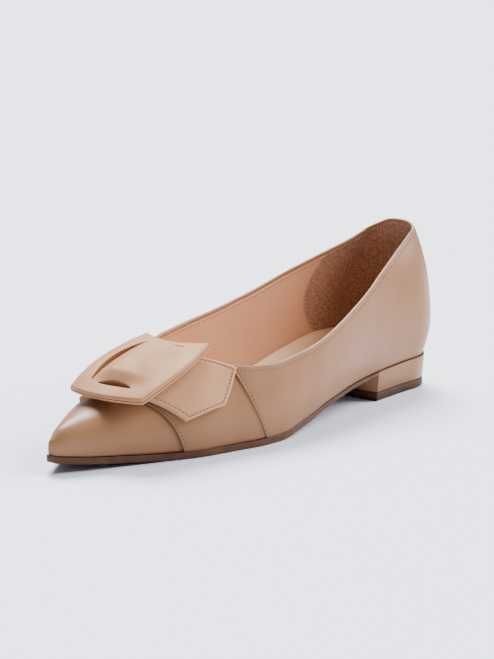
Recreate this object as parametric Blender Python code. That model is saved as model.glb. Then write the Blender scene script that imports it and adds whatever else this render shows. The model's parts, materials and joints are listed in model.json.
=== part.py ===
"""Left shoe of a pair: a pointed flat with a low block heel and a covered buckle.

Frame: metres, +Z up, the toe points along -Y, +X is the outer side of the foot.
The last is a table of sections. Every piece takes its outline and its height from that table.
"""
import math
from functools import lru_cache

import bmesh
import bpy
import numpy as np
from mathutils import Matrix

MM = 0.001

# Sizes of the whole shoe
LENGTH = 268 * MM
BALL_WIDTH = 80 * MM
INSTEP_HEIGHT = 40 * MM
BACK_HEIGHT = 82.5 * MM
HEEL_HEIGHT = 16.5 * MM
TOE_SPRING = 5.0 * MM

# Upper
WALL = 1.6 * MM
SEAM_LAP = 0.9 * MM
SEAM_TURN = 0.4 * MM
BAND_FADE = 0.75
QUARTER_FADE_STRIPS = 10.5

# Sole and heel
SOLE_THICKNESS = 3.3 * MM
SOLE_PROUD = 0.8 * MM
INSOLE_THICKNESS = 2.4 * MM
HEEL_LENGTH = 61 * MM
HEEL_PROUD = 0.9 * MM
HEEL_TAPER = 0.9 * MM
TOP_PIECE_THICKNESS = 4.2 * MM

# Strap: its width is measured along the shoe, and it slants back by so much for each metre of girth
STRAP_THICKNESS = 2.0 * MM
STRAP_WIDTH = 34 * MM
STRAP_SLANT = 0.59
STRAP_REACH = 42 * MM
STRAP_TUCK = 10 * MM
STRAP_STANDOFF = 0.7 * MM

# Buckle
BUCKLE_FRONT_WIDTH = 44 * MM
BUCKLE_REAR_WIDTH = 38 * MM
BUCKLE_LENGTH = 53 * MM
BUCKLE_SHIFT = 3.0 * MM
BUCKLE_TILT = math.radians(-1.5)
BUCKLE_THICKNESS = 3.2 * MM
BUCKLE_BULGE = 4.0 * MM
BUCKLE_BOW = 5.0 * MM
BUCKLE_ARCH = 1.8 * MM
BUCKLE_FLARE = 1.2 * MM
BUCKLE_DROOP = 1.8 * MM
PANEL_CROWN = 3.0 * MM
SLOT_WIDTH = 3.0 * MM
CUTTER_REACH = 10 * MM
SEAT_SEARCH = 1.2 * MM

# Flanks of the raised panel in shares of the buckle's half sizes: where each starts and how far it runs
PANEL_ENDS = (0.70, 0.34)
PANEL_MEDIAL = (-0.60, 0.5)
PANEL_OUTER = (0.85, 0.75)

# Clearance between pieces that meet
GAP = 0.3 * MM

# Places along the last, as shares of its length from the toe
HINGE = 0.897
THROAT = 0.298
INSOLE_START = 0.02
BUCKLE_AT = 0.226
STRAP_AT = 0.203

LAST_LENGTH = LENGTH - SOLE_PROUD
TOE_Y = SOLE_PROUD - LENGTH / 2
HEEL_PITCH = HEEL_HEIGHT - SOLE_THICKNESS
HEEL_ROUNDNESS = 2.1
BREAST_AT = 1 - HEEL_LENGTH / LAST_LENGTH
OUTER, INNER = 1, -1

# Sections of the last. at: share of the length. outer, inner: half widths, shares of the ball width.
# spring, rise: shares of the toe spring and of the heel pitch. crown, belly: heights of the ridge and
# of the widest point above the feather edge, shares of the instep height. tuck: how far the feather
# edge lies inside the widest point, share of the ball width. full: roundness of the top.
LAST_COLUMNS = ("at", "outer", "inner", "spring", "rise", "crown", "belly", "tuck", "full")
LAST = (
    (0.000, 0.000, 0.000, 1.15, 0.00, 0.13, 0.08, 0.000, 1.8),
    (0.010, 0.038, 0.038, 0.93, 0.00, 0.21, 0.10, 0.004, 1.8),
    (0.030, 0.078, 0.080, 0.78, 0.00, 0.315, 0.13, 0.008, 1.9),
    (0.056, 0.123, 0.134, 0.61, 0.00, 0.395, 0.15, 0.009, 1.95),
    (0.112, 0.208, 0.250, 0.36, 0.00, 0.52, 0.18, 0.010, 2.0),
    (0.187, 0.318, 0.362, 0.10, 0.00, 0.69, 0.21, 0.012, 2.0),
    (0.261, 0.425, 0.424, 0.00, 0.00, 0.87, 0.24, 0.015, 2.0),
    (0.317, 0.470, 0.446, 0.00, 0.00, 1.04, 0.26, 0.018, 2.0),
    (0.373, 0.516, 0.450, 0.00, 0.00, 1.26, 0.29, 0.020, 2.0),
    (0.430, 0.532, 0.452, 0.00, 0.03, 1.53, 0.32, 0.026, 2.0),
    (0.500, 0.518, 0.430, 0.00, 0.22, 1.76, 0.38, 0.044, 2.0),
    (0.600, 0.476, 0.392, 0.00, 0.57, 2.08, 0.48, 0.056, 2.0),
    (0.700, 0.416, 0.362, 0.00, 0.795, 2.08, 0.55, 0.054, 2.0),
    (0.800, 0.368, 0.350, 0.00, 0.89, 1.86, 0.56, 0.049, 1.9),
    (0.897, 0.342, 0.338, 0.00, 0.95, 1.74, 0.54, 0.045, 1.8),
    (1.000, 0.342, 0.338, 0.00, 1.00, 2.15, 0.47, 0.050, 1.8),
)

# Top edge behind the throat: heights above the ground as shares of the back height
TOPLINE_COLUMNS = ("at", "outer", "inner")
TOPLINE = (
    (0.320, 0.487, 0.533),
    (0.340, 0.458, 0.520),
    (0.368, 0.445, 0.514),
    (0.417, 0.441, 0.520),
    (0.462, 0.460, 0.538),
    (0.517, 0.485, 0.565),
    (0.580, 0.535, 0.600),
    (0.656, 0.613, 0.655),
    (0.734, 0.705, 0.730),
    (0.798, 0.785, 0.788),
    (0.870, 0.870, 0.855),
    (0.924, 0.930, 0.895),
    (0.960, 0.966, 0.935),
    (0.985, 0.990, 0.972),
    (1.000, 1.000, 1.000),
)

# Lines of the upper from the feather edge (foot) up to the ridge or the top edge (head), as shares
# of the length. bow bends the line forward between its ends. strips: how many to the next line.
# Columns: foot_outer, foot_inner, head, bow_outer, bow_inner, strips.
LINES = {
    "tip": (0.000, 0.000, 0.000, 0.000, 0.000, 13),
    "front seam": (0.217, 0.217, 0.143, 0.000, 0.000, 8),
    "throat": (0.300, 0.295, THROAT, 0.008, 0.006, 8),
    "rear seam": (0.384, 0.368, 0.338, 0.014, 0.012, 15),
    "hinge": (HINGE, HINGE, HINGE, 0.000, 0.000, 10),
    "back": (1.000, 1.000, 1.000, 0.000, 0.000, 0),
}
ROWS = 13
TIP_CROWDING = 1.15
SOLE_STATIONS = 40
INSOLE_STATIONS = 20
HEEL_STATIONS = 22
EASE_STRIPS = 5
EASE_PASSES = 4

# Thickness of the outsole along the last, as a share of the forefoot's
SOLE_COLUMNS = ("at", "thickness")
SOLE = (
    (0.00, 0.96),
    (0.10, 1.00),
    (0.42, 1.00),
    (0.60, 0.72),
    (0.80, 0.55),
    (1.00, 0.55),
)

# End of the strap: place across it from front to rear, and the reach of its end there, as shares
STRAP_POINT = 0.47
STRAP_END = (
    (0.00, 0.84),
    (STRAP_POINT, 1.00),
    (1.00, 0.82),
)
STRAP_ROWS = 18

# Slots of the buckle in shares of its half sizes: which way each runs, where it lies, where it ends
SLOTS = {
    "inner": ("lengthwise", -0.51, -0.72, 0.84),
    "front": ("crosswise", -0.71, -0.30, 0.55),
    "rear": ("crosswise", 0.80, -0.30, 0.60),
}


def smooth(table, columns, name, at):
    """One column of a table at a share of the length, along a curve without overshoot.

    The curve runs over the square root of the share, so that the tip of the toe comes out round.
    """
    rows = np.array(table)
    x = np.sqrt(rows[:, 0])
    y = rows[:, columns.index(name)]
    step = np.diff(x)
    slope = np.diff(y) / step
    tangent = np.zeros(len(x))
    same = slope[:-1] * slope[1:] > 0
    before, after = np.where(same, slope[:-1], 1), np.where(same, slope[1:], 1)
    mean = (step[:-1] + step[1:]) / (step[1:] / before + step[:-1] / after)
    tangent[1:-1] = np.where(same, mean, 0)
    tangent[0] = slope[0]
    tangent[-1] = 0
    where = min(max(math.sqrt(max(at, 0)), x[0]), x[-1])
    k = min(int(np.searchsorted(x, where, side="right")) - 1, len(x) - 2)
    t = (where - x[k]) / step[k]
    start = (1 + 2 * t) * (1 - t) ** 2 * y[k] + t * (1 - t) ** 2 * step[k] * tangent[k]
    end = t * t * (3 - 2 * t) * y[k + 1] + t * t * (t - 1) * step[k] * tangent[k + 1]
    return float(start + end)


def last(name, at):
    """A column of the last at a share of its length."""
    return smooth(LAST, LAST_COLUMNS, name, at)


def feather_height(at):
    """Height of the upper's lower edge above the ground."""
    return SOLE_THICKNESS + GAP + TOE_SPRING * last("spring", at) + HEEL_PITCH * last("rise", at)


def turn(at):
    """Angle of the section's plane about the heel's centre. It is zero ahead of the hinge."""
    return math.asin(min(max((at - HINGE) / (1 - HINGE), 0), 1))


def half_width(at, side):
    """Distance from the middle line, or from the heel's centre, to the widest point."""
    name = "outer" if side == OUTER else "inner"
    width = BALL_WIDTH * last(name, at)
    if at <= HINGE:
        return width
    angle = turn(at)
    width = BALL_WIDTH * last(name, HINGE)
    depth = LAST_LENGTH * (1 - HINGE)
    across = (math.cos(angle) / width) ** HEEL_ROUNDNESS
    along = (math.sin(angle) / depth) ** HEEL_ROUNDNESS
    return (across + along) ** (-1 / HEEL_ROUNDNESS)


@lru_cache(maxsize=None)
def profile(at, side):
    """Half a section of the last: distances, heights and shares of the girth, feather edge to ridge."""
    width = half_width(at, side)
    floor = feather_height(at)
    belly = INSTEP_HEIGHT * last("belly", at)
    crown = INSTEP_HEIGHT * last("crown", at)
    low = np.linspace(0, 1, 17)
    tuck = BALL_WIDTH * last("tuck", at)
    turn_up = np.linspace(0, math.pi / 2, 49)[1:]
    side_wall = width * np.cos(turn_up) ** (2 / last("full", at))
    across = np.concatenate([width - tuck * (1 - low) ** 2, side_wall])
    across[-1] = 0
    height = np.concatenate([belly * low, belly + (crown - belly) * np.sin(turn_up)])
    travel = np.concatenate([[0], np.cumsum(np.hypot(np.diff(across), np.diff(height)))])
    return across, floor + height, travel


def place(at, across, height, side):
    """Puts a distance and a height of a section where the section stands."""
    angle = turn(at)
    y = TOE_Y + LAST_LENGTH * min(at, HINGE)
    return np.array([side * across * math.cos(angle), y + across * math.sin(angle), height])


def skin(at, share, side):
    """Point of the last's surface at a share of the length and a share of the half girth."""
    at = round(min(max(at, 0), 1), 6)
    across, height, travel = profile(at, side)
    here = share * travel[-1]
    return place(at, np.interp(here, travel, across), np.interp(here, travel, height), side)


def over_vamp(at, girth):
    """Point of the surface at a distance over the ridge, positive towards the outer side."""
    side = OUTER if girth >= 0 else INNER
    total = profile(round(at, 6), side)[2][-1]
    return skin(at, 1 - abs(girth) / total, side)


def vamp_normal(at, girth):
    """Outward direction of the surface at a distance over the ridge."""
    near, beside = 0.004, 1.5 * MM
    along = over_vamp(at + near, girth) - over_vamp(at - near, girth)
    around = over_vamp(at, girth + beside) - over_vamp(at, girth - beside)
    normal = np.cross(around, along)
    return normal / np.linalg.norm(normal)


def top_share(at, side):
    """Share of the half girth that the upper reaches: the ridge, or the top edge behind the throat."""
    if at <= THROAT:
        return 1.0
    at = round(at, 6)
    ridge = profile(round(THROAT, 6), side)[1][-1]
    rows = ((THROAT, ridge / BACK_HEIGHT, ridge / BACK_HEIGHT),) + TOPLINE
    height = BACK_HEIGHT * smooth(rows, TOPLINE_COLUMNS, "outer" if side == OUTER else "inner", at)
    _, heights, travel = profile(at, side)
    return float(np.interp(height, heights, travel) / travel[-1])


def line_number(name):
    """Number of the strip that follows a named line of the upper."""
    counts = [row[-1] for row in LINES.values()]
    return round(sum(counts[: list(LINES).index(name)]))


def seam_lift(number):
    """How far the leather stands out where one panel laps over another, by strip number."""
    front, rear = line_number("front seam"), line_number("rear seam")
    if number <= front:
        return 0.0
    if number <= rear:
        return SEAM_LAP * (1 - BAND_FADE * (number - front) / (rear - front))
    return SEAM_LAP * max(0.0, 1 - (number - rear) / QUARTER_FADE_STRIPS)


def new_object(name, mesh_data, material):
    """A named object from a bmesh, closed, with its faces outwards."""
    bmesh.ops.recalc_face_normals(mesh_data, faces=mesh_data.faces)
    mesh = bpy.data.meshes.new(name)
    mesh_data.to_mesh(mesh)
    mesh_data.free()
    mesh.materials.append(material)
    mesh.shade_smooth()
    mesh.set_sharp_from_angle(angle=math.radians(35))
    thing = bpy.data.objects.new(name, mesh)
    bpy.context.collection.objects.link(thing)
    return thing


def new_material(name, colour, roughness, metallic=0.0):
    """A plain material with the colour of the real piece."""
    material = bpy.data.materials.new(name)
    material.use_nodes = True
    shader = material.node_tree.nodes["Principled BSDF"]
    shader.inputs["Base Color"].default_value = (*colour, 1)
    shader.inputs["Roughness"].default_value = roughness
    shader.inputs["Metallic"].default_value = metallic
    return material


def strip_lines():
    """Every strip of the upper: its foot on either side, its head and its bow, seams doubled."""
    rows = list(LINES.values())
    strips = []
    for first, second in zip(rows, rows[1:]):
        count = round(first[-1])
        for k in range(count):
            t = k / count
            if first is LINES["throat"]:
                head = first[2] + (second[2] - first[2]) * t * t
            elif first is LINES["hinge"]:
                head = HINGE + (1 - HINGE) * math.sin(t * math.pi / 2)
            elif first is LINES["tip"]:
                t = t ** 1.6
                head = second[2] * t
            else:
                head = first[2] + (second[2] - first[2]) * t
            line = [a + (b - a) * t for a, b in zip(first[:5], second[:5])]
            line[2] = head
            if first is LINES["hinge"]:
                line[0] = line[1] = head
            strips.append(line)
    strips.append(list(rows[-1][:5]))
    return strips


def upper_sheet():
    """The last's surface inside the upper's outline, as points, how far each stands out, and faces."""
    numbered = []
    for number, line in enumerate(strip_lines()):
        numbered.append((number, line, seam_lift(number)))
        if number in (line_number("front seam"), line_number("rear seam")):
            behind = [value + (SEAM_TURN / LAST_LENGTH if k < 3 else 0) for k, value in enumerate(line)]
            numbered.append((number, behind, SEAM_LAP))
    points, lifts, faces = [], [], []
    ids = {}
    count = len(numbered)
    for side in (OUTER, INNER):
        for i, (number, line, lift) in enumerate(numbered):
            foot = line[0] if side == OUTER else line[1]
            bow = line[3] if side == OUTER else line[4]
            for j in range(ROWS + 1):
                v = j / ROWS
                on_ridge = j == ROWS and line[2] <= THROAT + 1e-9
                if side == INNER and (i in (0, count - 1) or on_ridge):
                    ids[side, i, j] = ids[OUTER, i, j]
                    continue
                at = foot + (line[2] - foot) * v - bow * 4 * v * (1 - v)
                head_share = top_share(line[2], side)
                ids[side, i, j] = len(points)
                points.append(skin(at, head_share * v, side))
                lifts.append(lift)
        for i in range(count - 1):
            for j in range(ROWS):
                places = ((i, j), (i + 1, j), (i + 1, j + 1), (i, j + 1))
                corners = [ids[side, column, row] for column, row in places]
                faces.append(corners if side == OUTER else corners[::-1])
    points = np.array(points)
    hinge = [number for number, _, _ in numbered].index(line_number("hinge"))
    for side in (OUTER, INNER):
        for j in range(1, ROWS + 1):
            near = range(hinge - EASE_STRIPS, hinge + EASE_STRIPS + 1)
            ease(points, [ids[side, i, j] for i in near], j / ROWS)
    rim = {ids[side, i, 0] for side in (OUTER, INNER) for i in range(count)}
    return points, np.array(lifts), faces, rim


def ease(points, row, strength):
    """Softens the bend of a row of points where the fan of the heel's sections begins."""
    for _ in range(EASE_PASSES):
        line = points[row]
        line[1:-1] += 0.5 * strength * ((line[:-2] + line[2:]) / 2 - line[1:-1])
        points[row] = line


def sheet_normals(points, faces):
    """Direction in which each point of a sheet faces."""
    normals = np.zeros_like(points)
    for face in faces:
        a, b, c, d = points[face]
        normal = np.cross(c - a, d - b)
        for corner in face:
            normals[corner] += normal
    return normals / np.linalg.norm(normals, axis=1)[:, None]


def thicken(outside, inside, faces):
    """A closed body between two sheets that share their faces."""
    body = bmesh.new()
    skins = [[body.verts.new(point) for point in sheet] for sheet in (outside, inside)]
    edges = {}
    for face in faces:
        corners = list(dict.fromkeys(face))
        if len(corners) < 3:
            continue
        body.faces.new([skins[0][k] for k in corners])
        body.faces.new([skins[1][k] for k in reversed(corners)])
        for a, b in zip(corners, corners[1:] + corners[:1]):
            edges[a, b] = True
    for a, b in edges:
        if (b, a) not in edges:
            body.faces.new([skins[0][b], skins[0][a], skins[1][a], skins[1][b]])
    bmesh.ops.remove_doubles(body, verts=body.verts, dist=1e-7)
    return body


def make_upper(material):
    """The upper: one wall, closed over the toe, open at the throat and along the feather edge."""
    points, lifts, faces, rim = upper_sheet()
    normals = sheet_normals(points, faces)
    level = normals.copy()
    level[:, 2] = 0
    level /= np.linalg.norm(level, axis=1)[:, None]
    for k in rim:
        normals[k] = level[k]
    outside = points + normals * lifts[:, None]
    inside = points - normals * WALL
    return new_object("upper", thicken(outside, inside, faces), material)


def feather_outline(grow, stations):
    """Plan outline of the feather edge on both sides at some stations, set out by a distance."""
    outline = {}
    for side in (OUTER, INNER):
        line = np.array([skin(at, 0, side)[:2] for at in stations])
        ahead = np.gradient(line, axis=0)
        ahead[0] = (side, 0) if stations[0] == 0 else ahead[0]
        ahead[-1] = (-side, 0) if stations[-1] == 1 else ahead[-1]
        ahead /= np.linalg.norm(ahead, axis=1)[:, None]
        normal = np.stack([ahead[:, 1], -ahead[:, 0]], 1) * side
        outline[side] = line + normal * grow
    return outline


def station_list(start, end, count):
    """Shares of the length, closer together towards the round tip or the round back."""
    turn_up = np.linspace(0, math.pi / 2, count)
    if start == 0:
        return list(end * (1 - np.cos(turn_up)) ** TIP_CROWDING)
    return list(start + (end - start) * np.sin(turn_up))


def along(y):
    """Share of the length at a place along Y."""
    return min(max((y - TOE_Y) / LAST_LENGTH, 0), 1)


def ladder(upper_line, lower_line):
    """A closed body between two outlines, each a pair of lines with their heights."""
    body = bmesh.new()
    rows = []
    for points in zip(upper_line[OUTER], upper_line[INNER], lower_line[INNER], lower_line[OUTER]):
        rows.append([body.verts.new(point) for point in points])
    for first, second in zip(rows, rows[1:]):
        for a in range(4):
            b = (a + 1) % 4
            body.faces.new([first[a], first[b], second[b], second[a]])
    body.faces.new(rows[0])
    body.faces.new(rows[-1])
    bmesh.ops.remove_doubles(body, verts=body.verts, dist=1e-6)
    bmesh.ops.dissolve_degenerate(body, edges=body.edges, dist=1e-6)
    return body


def raised(outline, height):
    """An outline with the height of each of its points, from a function of its place."""
    return {side: [(x, y, height(along(y))) for x, y in line] for side, line in outline.items()}


def sole_underside(at):
    """Height of the outsole's underside above the ground."""
    return feather_height(at) - GAP - SOLE_THICKNESS * smooth(SOLE, SOLE_COLUMNS, "thickness", at)


def make_outsole(material):
    """Thin leather sole from the toe to the breast of the heel, flat under the ball."""
    stations = station_list(0, BREAST_AT - GAP / LAST_LENGTH, SOLE_STATIONS)
    outline = feather_outline(SOLE_PROUD, stations)
    body = ladder(raised(outline, lambda at: feather_height(at) - GAP), raised(outline, sole_underside))
    return new_object("outsole", body, material)


def make_insole(material):
    """Board and sock inside the upper, from just behind the tip of the toe to the back."""
    ahead = np.linspace(math.sqrt(INSOLE_START), math.sqrt(0.5), INSOLE_STATIONS) ** 2
    stations = list(ahead) + station_list(0.5, 1, INSOLE_STATIONS)[1:]
    outline = feather_outline(-WALL - GAP, stations)
    over = raised(outline, lambda at: feather_height(at) + INSOLE_THICKNESS)
    body = ladder(over, raised(outline, feather_height))
    return new_object("insole", body, material)


def make_heel(material, rubber):
    """Covered block under the heel and the rubber top piece below it."""
    stations = station_list(BREAST_AT, 1, HEEL_STATIONS)
    wide = feather_outline(HEEL_PROUD, stations)
    narrow = feather_outline(HEEL_PROUD - HEEL_TAPER, stations)
    under = TOP_PIECE_THICKNESS + GAP
    block = ladder(raised(wide, lambda at: feather_height(at) - GAP), raised(narrow, lambda at: under))
    new_object("heel_block", block, material)
    tip = ladder(raised(narrow, lambda at: TOP_PIECE_THICKNESS), raised(narrow, lambda at: 0.0))
    new_object("heel_top_piece", tip, rubber)


def strap_point(across, share):
    """Place of a point of the strap: share of the last's length and distance over the ridge."""
    ends = np.array(STRAP_END)
    reach = STRAP_REACH * np.interp(across, ends[:, 0], ends[:, 1])
    girth = -STRAP_TUCK + (reach + STRAP_TUCK) * share
    at = STRAP_AT + ((across - 0.5) * STRAP_WIDTH + STRAP_SLANT * girth) / LAST_LENGTH
    return at, girth


def strap_sheets():
    """Underside and top of the strap as grids of points, and the faces of each grid."""
    shares = np.linspace(0, 1, STRAP_ROWS)
    acrosses = (0, 0.16, 0.32, STRAP_POINT, 0.65, 0.83, 1)
    low, high, faces = [], [], []
    for share in shares:
        lift = SEAM_LAP + GAP + STRAP_STANDOFF * max(0, 2 * share - 1) ** 2
        for across in acrosses:
            at, girth = strap_point(across, share)
            point, normal = over_vamp(at, girth), vamp_normal(at, girth)
            low.append(point + normal * lift)
            high.append(point + normal * (lift + STRAP_THICKNESS))
    width = len(acrosses)
    for i in range(len(shares) - 1):
        for j in range(width - 1):
            k = i * width + j
            faces.append([k, k + width, k + width + 1, k + 1])
    return np.array(low), np.array(high), faces


def make_strap(material):
    """Folded strap under the buckle. It lies over the band and ends in a point on the outer side."""
    low, high, faces = strap_sheets()
    return new_object("strap", thicken(high, low, faces), material)


def buckle_frame():
    """Origin of the buckle on the ridge and its directions: across, along and away from the vamp."""
    reach = 0.45 * BUCKLE_LENGTH / LAST_LENGTH
    slope = over_vamp(BUCKLE_AT + reach, 0) - over_vamp(BUCKLE_AT - reach, 0)
    angle = math.atan2(slope[2], slope[1]) + BUCKLE_TILT
    across = np.array([1.0, 0.0, 0.0])
    ahead = np.array([0.0, math.cos(angle), math.sin(angle)])
    return over_vamp(BUCKLE_AT, 0) + BUCKLE_SHIFT * across, across, ahead, np.cross(across, ahead)


def buckle_plan(a, b):
    """Place in the buckle's plane of a point given in shares of its half sizes."""
    width = BUCKLE_FRONT_WIDTH + (BUCKLE_REAR_WIDTH - BUCKLE_FRONT_WIDTH) * (b + 1) / 2
    half = width / 2 + BUCKLE_BULGE * (1 - b * b)
    return a * half, b * BUCKLE_LENGTH / 2 - BUCKLE_BOW * (1 - a * a)


def ramp(value):
    """Soft step from 0 to 1."""
    value = min(max(value, 0), 1)
    return value * value * (3 - 2 * value)


def buckle_top(a, b):
    """Height of the buckle's face: its arch and droop, its flared rear corners and the raised panel."""
    arch = BUCKLE_ARCH * (1 - b * b) - BUCKLE_DROOP * a * a + BUCKLE_FLARE * a * a * max(b, 0) ** 2
    ends = ramp((PANEL_ENDS[0] - abs(b)) / PANEL_ENDS[1])
    medial = ramp((a - PANEL_MEDIAL[0]) / PANEL_MEDIAL[1])
    outer = ramp((PANEL_OUTER[0] - a) / PANEL_OUTER[1])
    return arch + PANEL_CROWN * ends * medial * outer


def buckle_seat(frame):
    """How far the buckle is lifted so that it clears the strap and the vamp everywhere."""
    origin, across, ahead, away = frame
    samples = list(strap_sheets()[1])
    reach = BUCKLE_LENGTH / LAST_LENGTH
    for at in np.linspace(max(BUCKLE_AT - reach, BUCKLE_AT / 3), THROAT, 34):
        for girth in np.linspace(-0.9, 0.9, 37) * profile(round(at, 6), INNER)[2][-1]:
            samples.append(over_vamp(at, girth) + vamp_normal(at, girth) * SEAM_LAP)
    grid = np.linspace(-1, 1, 41)
    plan = np.array([[buckle_plan(a, b) for b in grid] for a in grid])
    under = np.array([[buckle_top(a, b) for b in grid] for a in grid]) - BUCKLE_THICKNESS
    lift = 0.0
    for point in np.array(samples) - origin:
        near = np.hypot(plan[..., 0] - point @ across, plan[..., 1] - point @ ahead)
        spot = np.unravel_index(near.argmin(), near.shape)
        if near[spot] < SEAT_SEARCH:
            lift = max(lift, point @ away - under[spot])
    return lift + GAP


def in_world(frame, plan, height):
    """A point of the buckle's own frame, placed in the shoe's frame."""
    origin, across, ahead, away = frame
    return origin + across * plan[0] + ahead * plan[1] + away * height


def slot_cutter(name, slot, frame, seat, material):
    """Crescent prism that cuts one slot through the buckle."""
    way, place_at, start, end = slot
    half = (BUCKLE_FRONT_WIDTH if way == "lengthwise" else BUCKLE_LENGTH) / 2
    steps = np.linspace(-1, 1, 13)
    middle, reach = (start + end) / 2, (end - start) / 2
    outward = math.copysign(1, place_at)
    straight = [(middle + reach * t, place_at) for t in steps]
    depth = SLOT_WIDTH / half
    bend = outward if way == "lengthwise" else -outward
    curved = [(middle + reach * t, place_at + bend * depth * (1 - t * t)) for t in steps[-2:0:-1]]
    outline = []
    for run, level in straight + curved:
        outline.append(buckle_plan(level, run) if way == "lengthwise" else buckle_plan(run, level))
    body = bmesh.new()
    heights = (seat - CUTTER_REACH, seat + CUTTER_REACH)
    rings = [[body.verts.new(in_world(frame, plan, height)) for plan in outline] for height in heights]
    body.faces.new(rings[0])
    body.faces.new(rings[1])
    for k, _ in enumerate(outline):
        n = (k + 1) % len(outline)
        body.faces.new([rings[0][k], rings[0][n], rings[1][n], rings[1][k]])
    cutter = new_object("cutter_" + name, body, material)
    cutter.hide_render = True
    cutter.display_type = "WIRE"
    return cutter


def make_buckle(material):
    """Covered ornamental buckle: a plate with a raised panel and three slots, seated on the strap."""
    frame = buckle_frame()
    seat = buckle_seat(frame)
    grid_a = np.linspace(-1, 1, 19)
    grid_b = np.linspace(-1, 1, 21)
    high, low, faces = [], [], []
    for a in grid_a:
        for b in grid_b:
            height = seat + buckle_top(a, b)
            high.append(in_world(frame, buckle_plan(a, b), height))
            low.append(in_world(frame, buckle_plan(a, b), height - BUCKLE_THICKNESS))
    rows = len(grid_b)
    for i in range(len(grid_a) - 1):
        for j in range(rows - 1):
            k = i * rows + j
            faces.append([k, k + rows, k + rows + 1, k + 1])
    plate = new_object("buckle", thicken(np.array(high), np.array(low), faces), material)
    for name, slot in SLOTS.items():
        cut = plate.modifiers.new("slot_" + name, "BOOLEAN")
        cut.operation = "DIFFERENCE"
        cut.solver = "EXACT"
        cut.object = slot_cutter(name, slot, frame, seat, material)
    return plate


def centre_shoe():
    """Moves every mesh sideways so that the origin lies under the middle of the shoe's box."""
    ends = [vertex.co.x for vertex in bpy.data.objects["upper"].data.vertices]
    shift = Matrix.Translation((-(min(ends) + max(ends)) / 2, 0, 0))
    for thing in bpy.data.objects:
        thing.data.transform(shift)


def build():
    """Empties the scene and makes every piece."""
    for thing in list(bpy.data.objects):
        bpy.data.objects.remove(thing)
    leather = new_material("nude_leather", (0.60, 0.41, 0.29), 0.42)
    lining = new_material("sock_leather", (0.75, 0.50, 0.36), 0.55)
    sole_leather = new_material("sole_leather", (0.17, 0.09, 0.055), 0.5)
    rubber = new_material("brown_rubber", (0.16, 0.10, 0.06), 0.7)
    make_upper(leather)
    make_outsole(sole_leather)
    make_insole(lining)
    make_heel(leather, rubber)
    make_strap(leather)
    make_buckle(leather)
    centre_shoe()


build()
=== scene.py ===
"""Dresses a pointed flat for the left foot: panels, lining, sock, sole, heel, strap and buckle.

Frame: metres, +Z up, the toe points along -Y, +X is the outer side of the foot.
The last is the same table of sections that the solids use, read here at a finer pitch.
"""

import json
import logging
import math
from dataclasses import dataclass, field
from enum import Enum
from typing import Callable, Optional

import bmesh
import bpy
import numpy as np
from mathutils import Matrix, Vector
from mathutils.bvhtree import BVHTree

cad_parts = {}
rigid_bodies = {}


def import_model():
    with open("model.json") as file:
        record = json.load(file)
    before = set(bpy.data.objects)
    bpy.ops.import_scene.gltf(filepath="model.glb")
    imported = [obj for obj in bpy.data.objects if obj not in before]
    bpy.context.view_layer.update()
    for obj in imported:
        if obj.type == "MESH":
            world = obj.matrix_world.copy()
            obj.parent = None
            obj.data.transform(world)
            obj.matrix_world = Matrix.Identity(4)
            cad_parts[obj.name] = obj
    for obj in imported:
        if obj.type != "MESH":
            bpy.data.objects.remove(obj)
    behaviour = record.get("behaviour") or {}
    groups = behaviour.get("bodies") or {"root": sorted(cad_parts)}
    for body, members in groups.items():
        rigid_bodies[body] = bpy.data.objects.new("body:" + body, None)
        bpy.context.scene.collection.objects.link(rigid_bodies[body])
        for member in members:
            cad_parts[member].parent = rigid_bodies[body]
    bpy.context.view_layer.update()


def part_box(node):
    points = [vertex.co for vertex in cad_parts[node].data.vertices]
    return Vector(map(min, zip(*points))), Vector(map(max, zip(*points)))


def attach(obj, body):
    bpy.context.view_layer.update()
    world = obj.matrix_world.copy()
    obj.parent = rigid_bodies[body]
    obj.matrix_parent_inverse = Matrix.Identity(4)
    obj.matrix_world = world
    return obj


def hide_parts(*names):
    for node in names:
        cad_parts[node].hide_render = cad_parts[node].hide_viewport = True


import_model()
LOG = logging.getLogger("shoe")

MM = 0.001
WELD = 0.001 * MM
TINY = 1e-9
Colour = tuple[float, float, float]
Height = Callable[[np.ndarray], np.ndarray]

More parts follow.
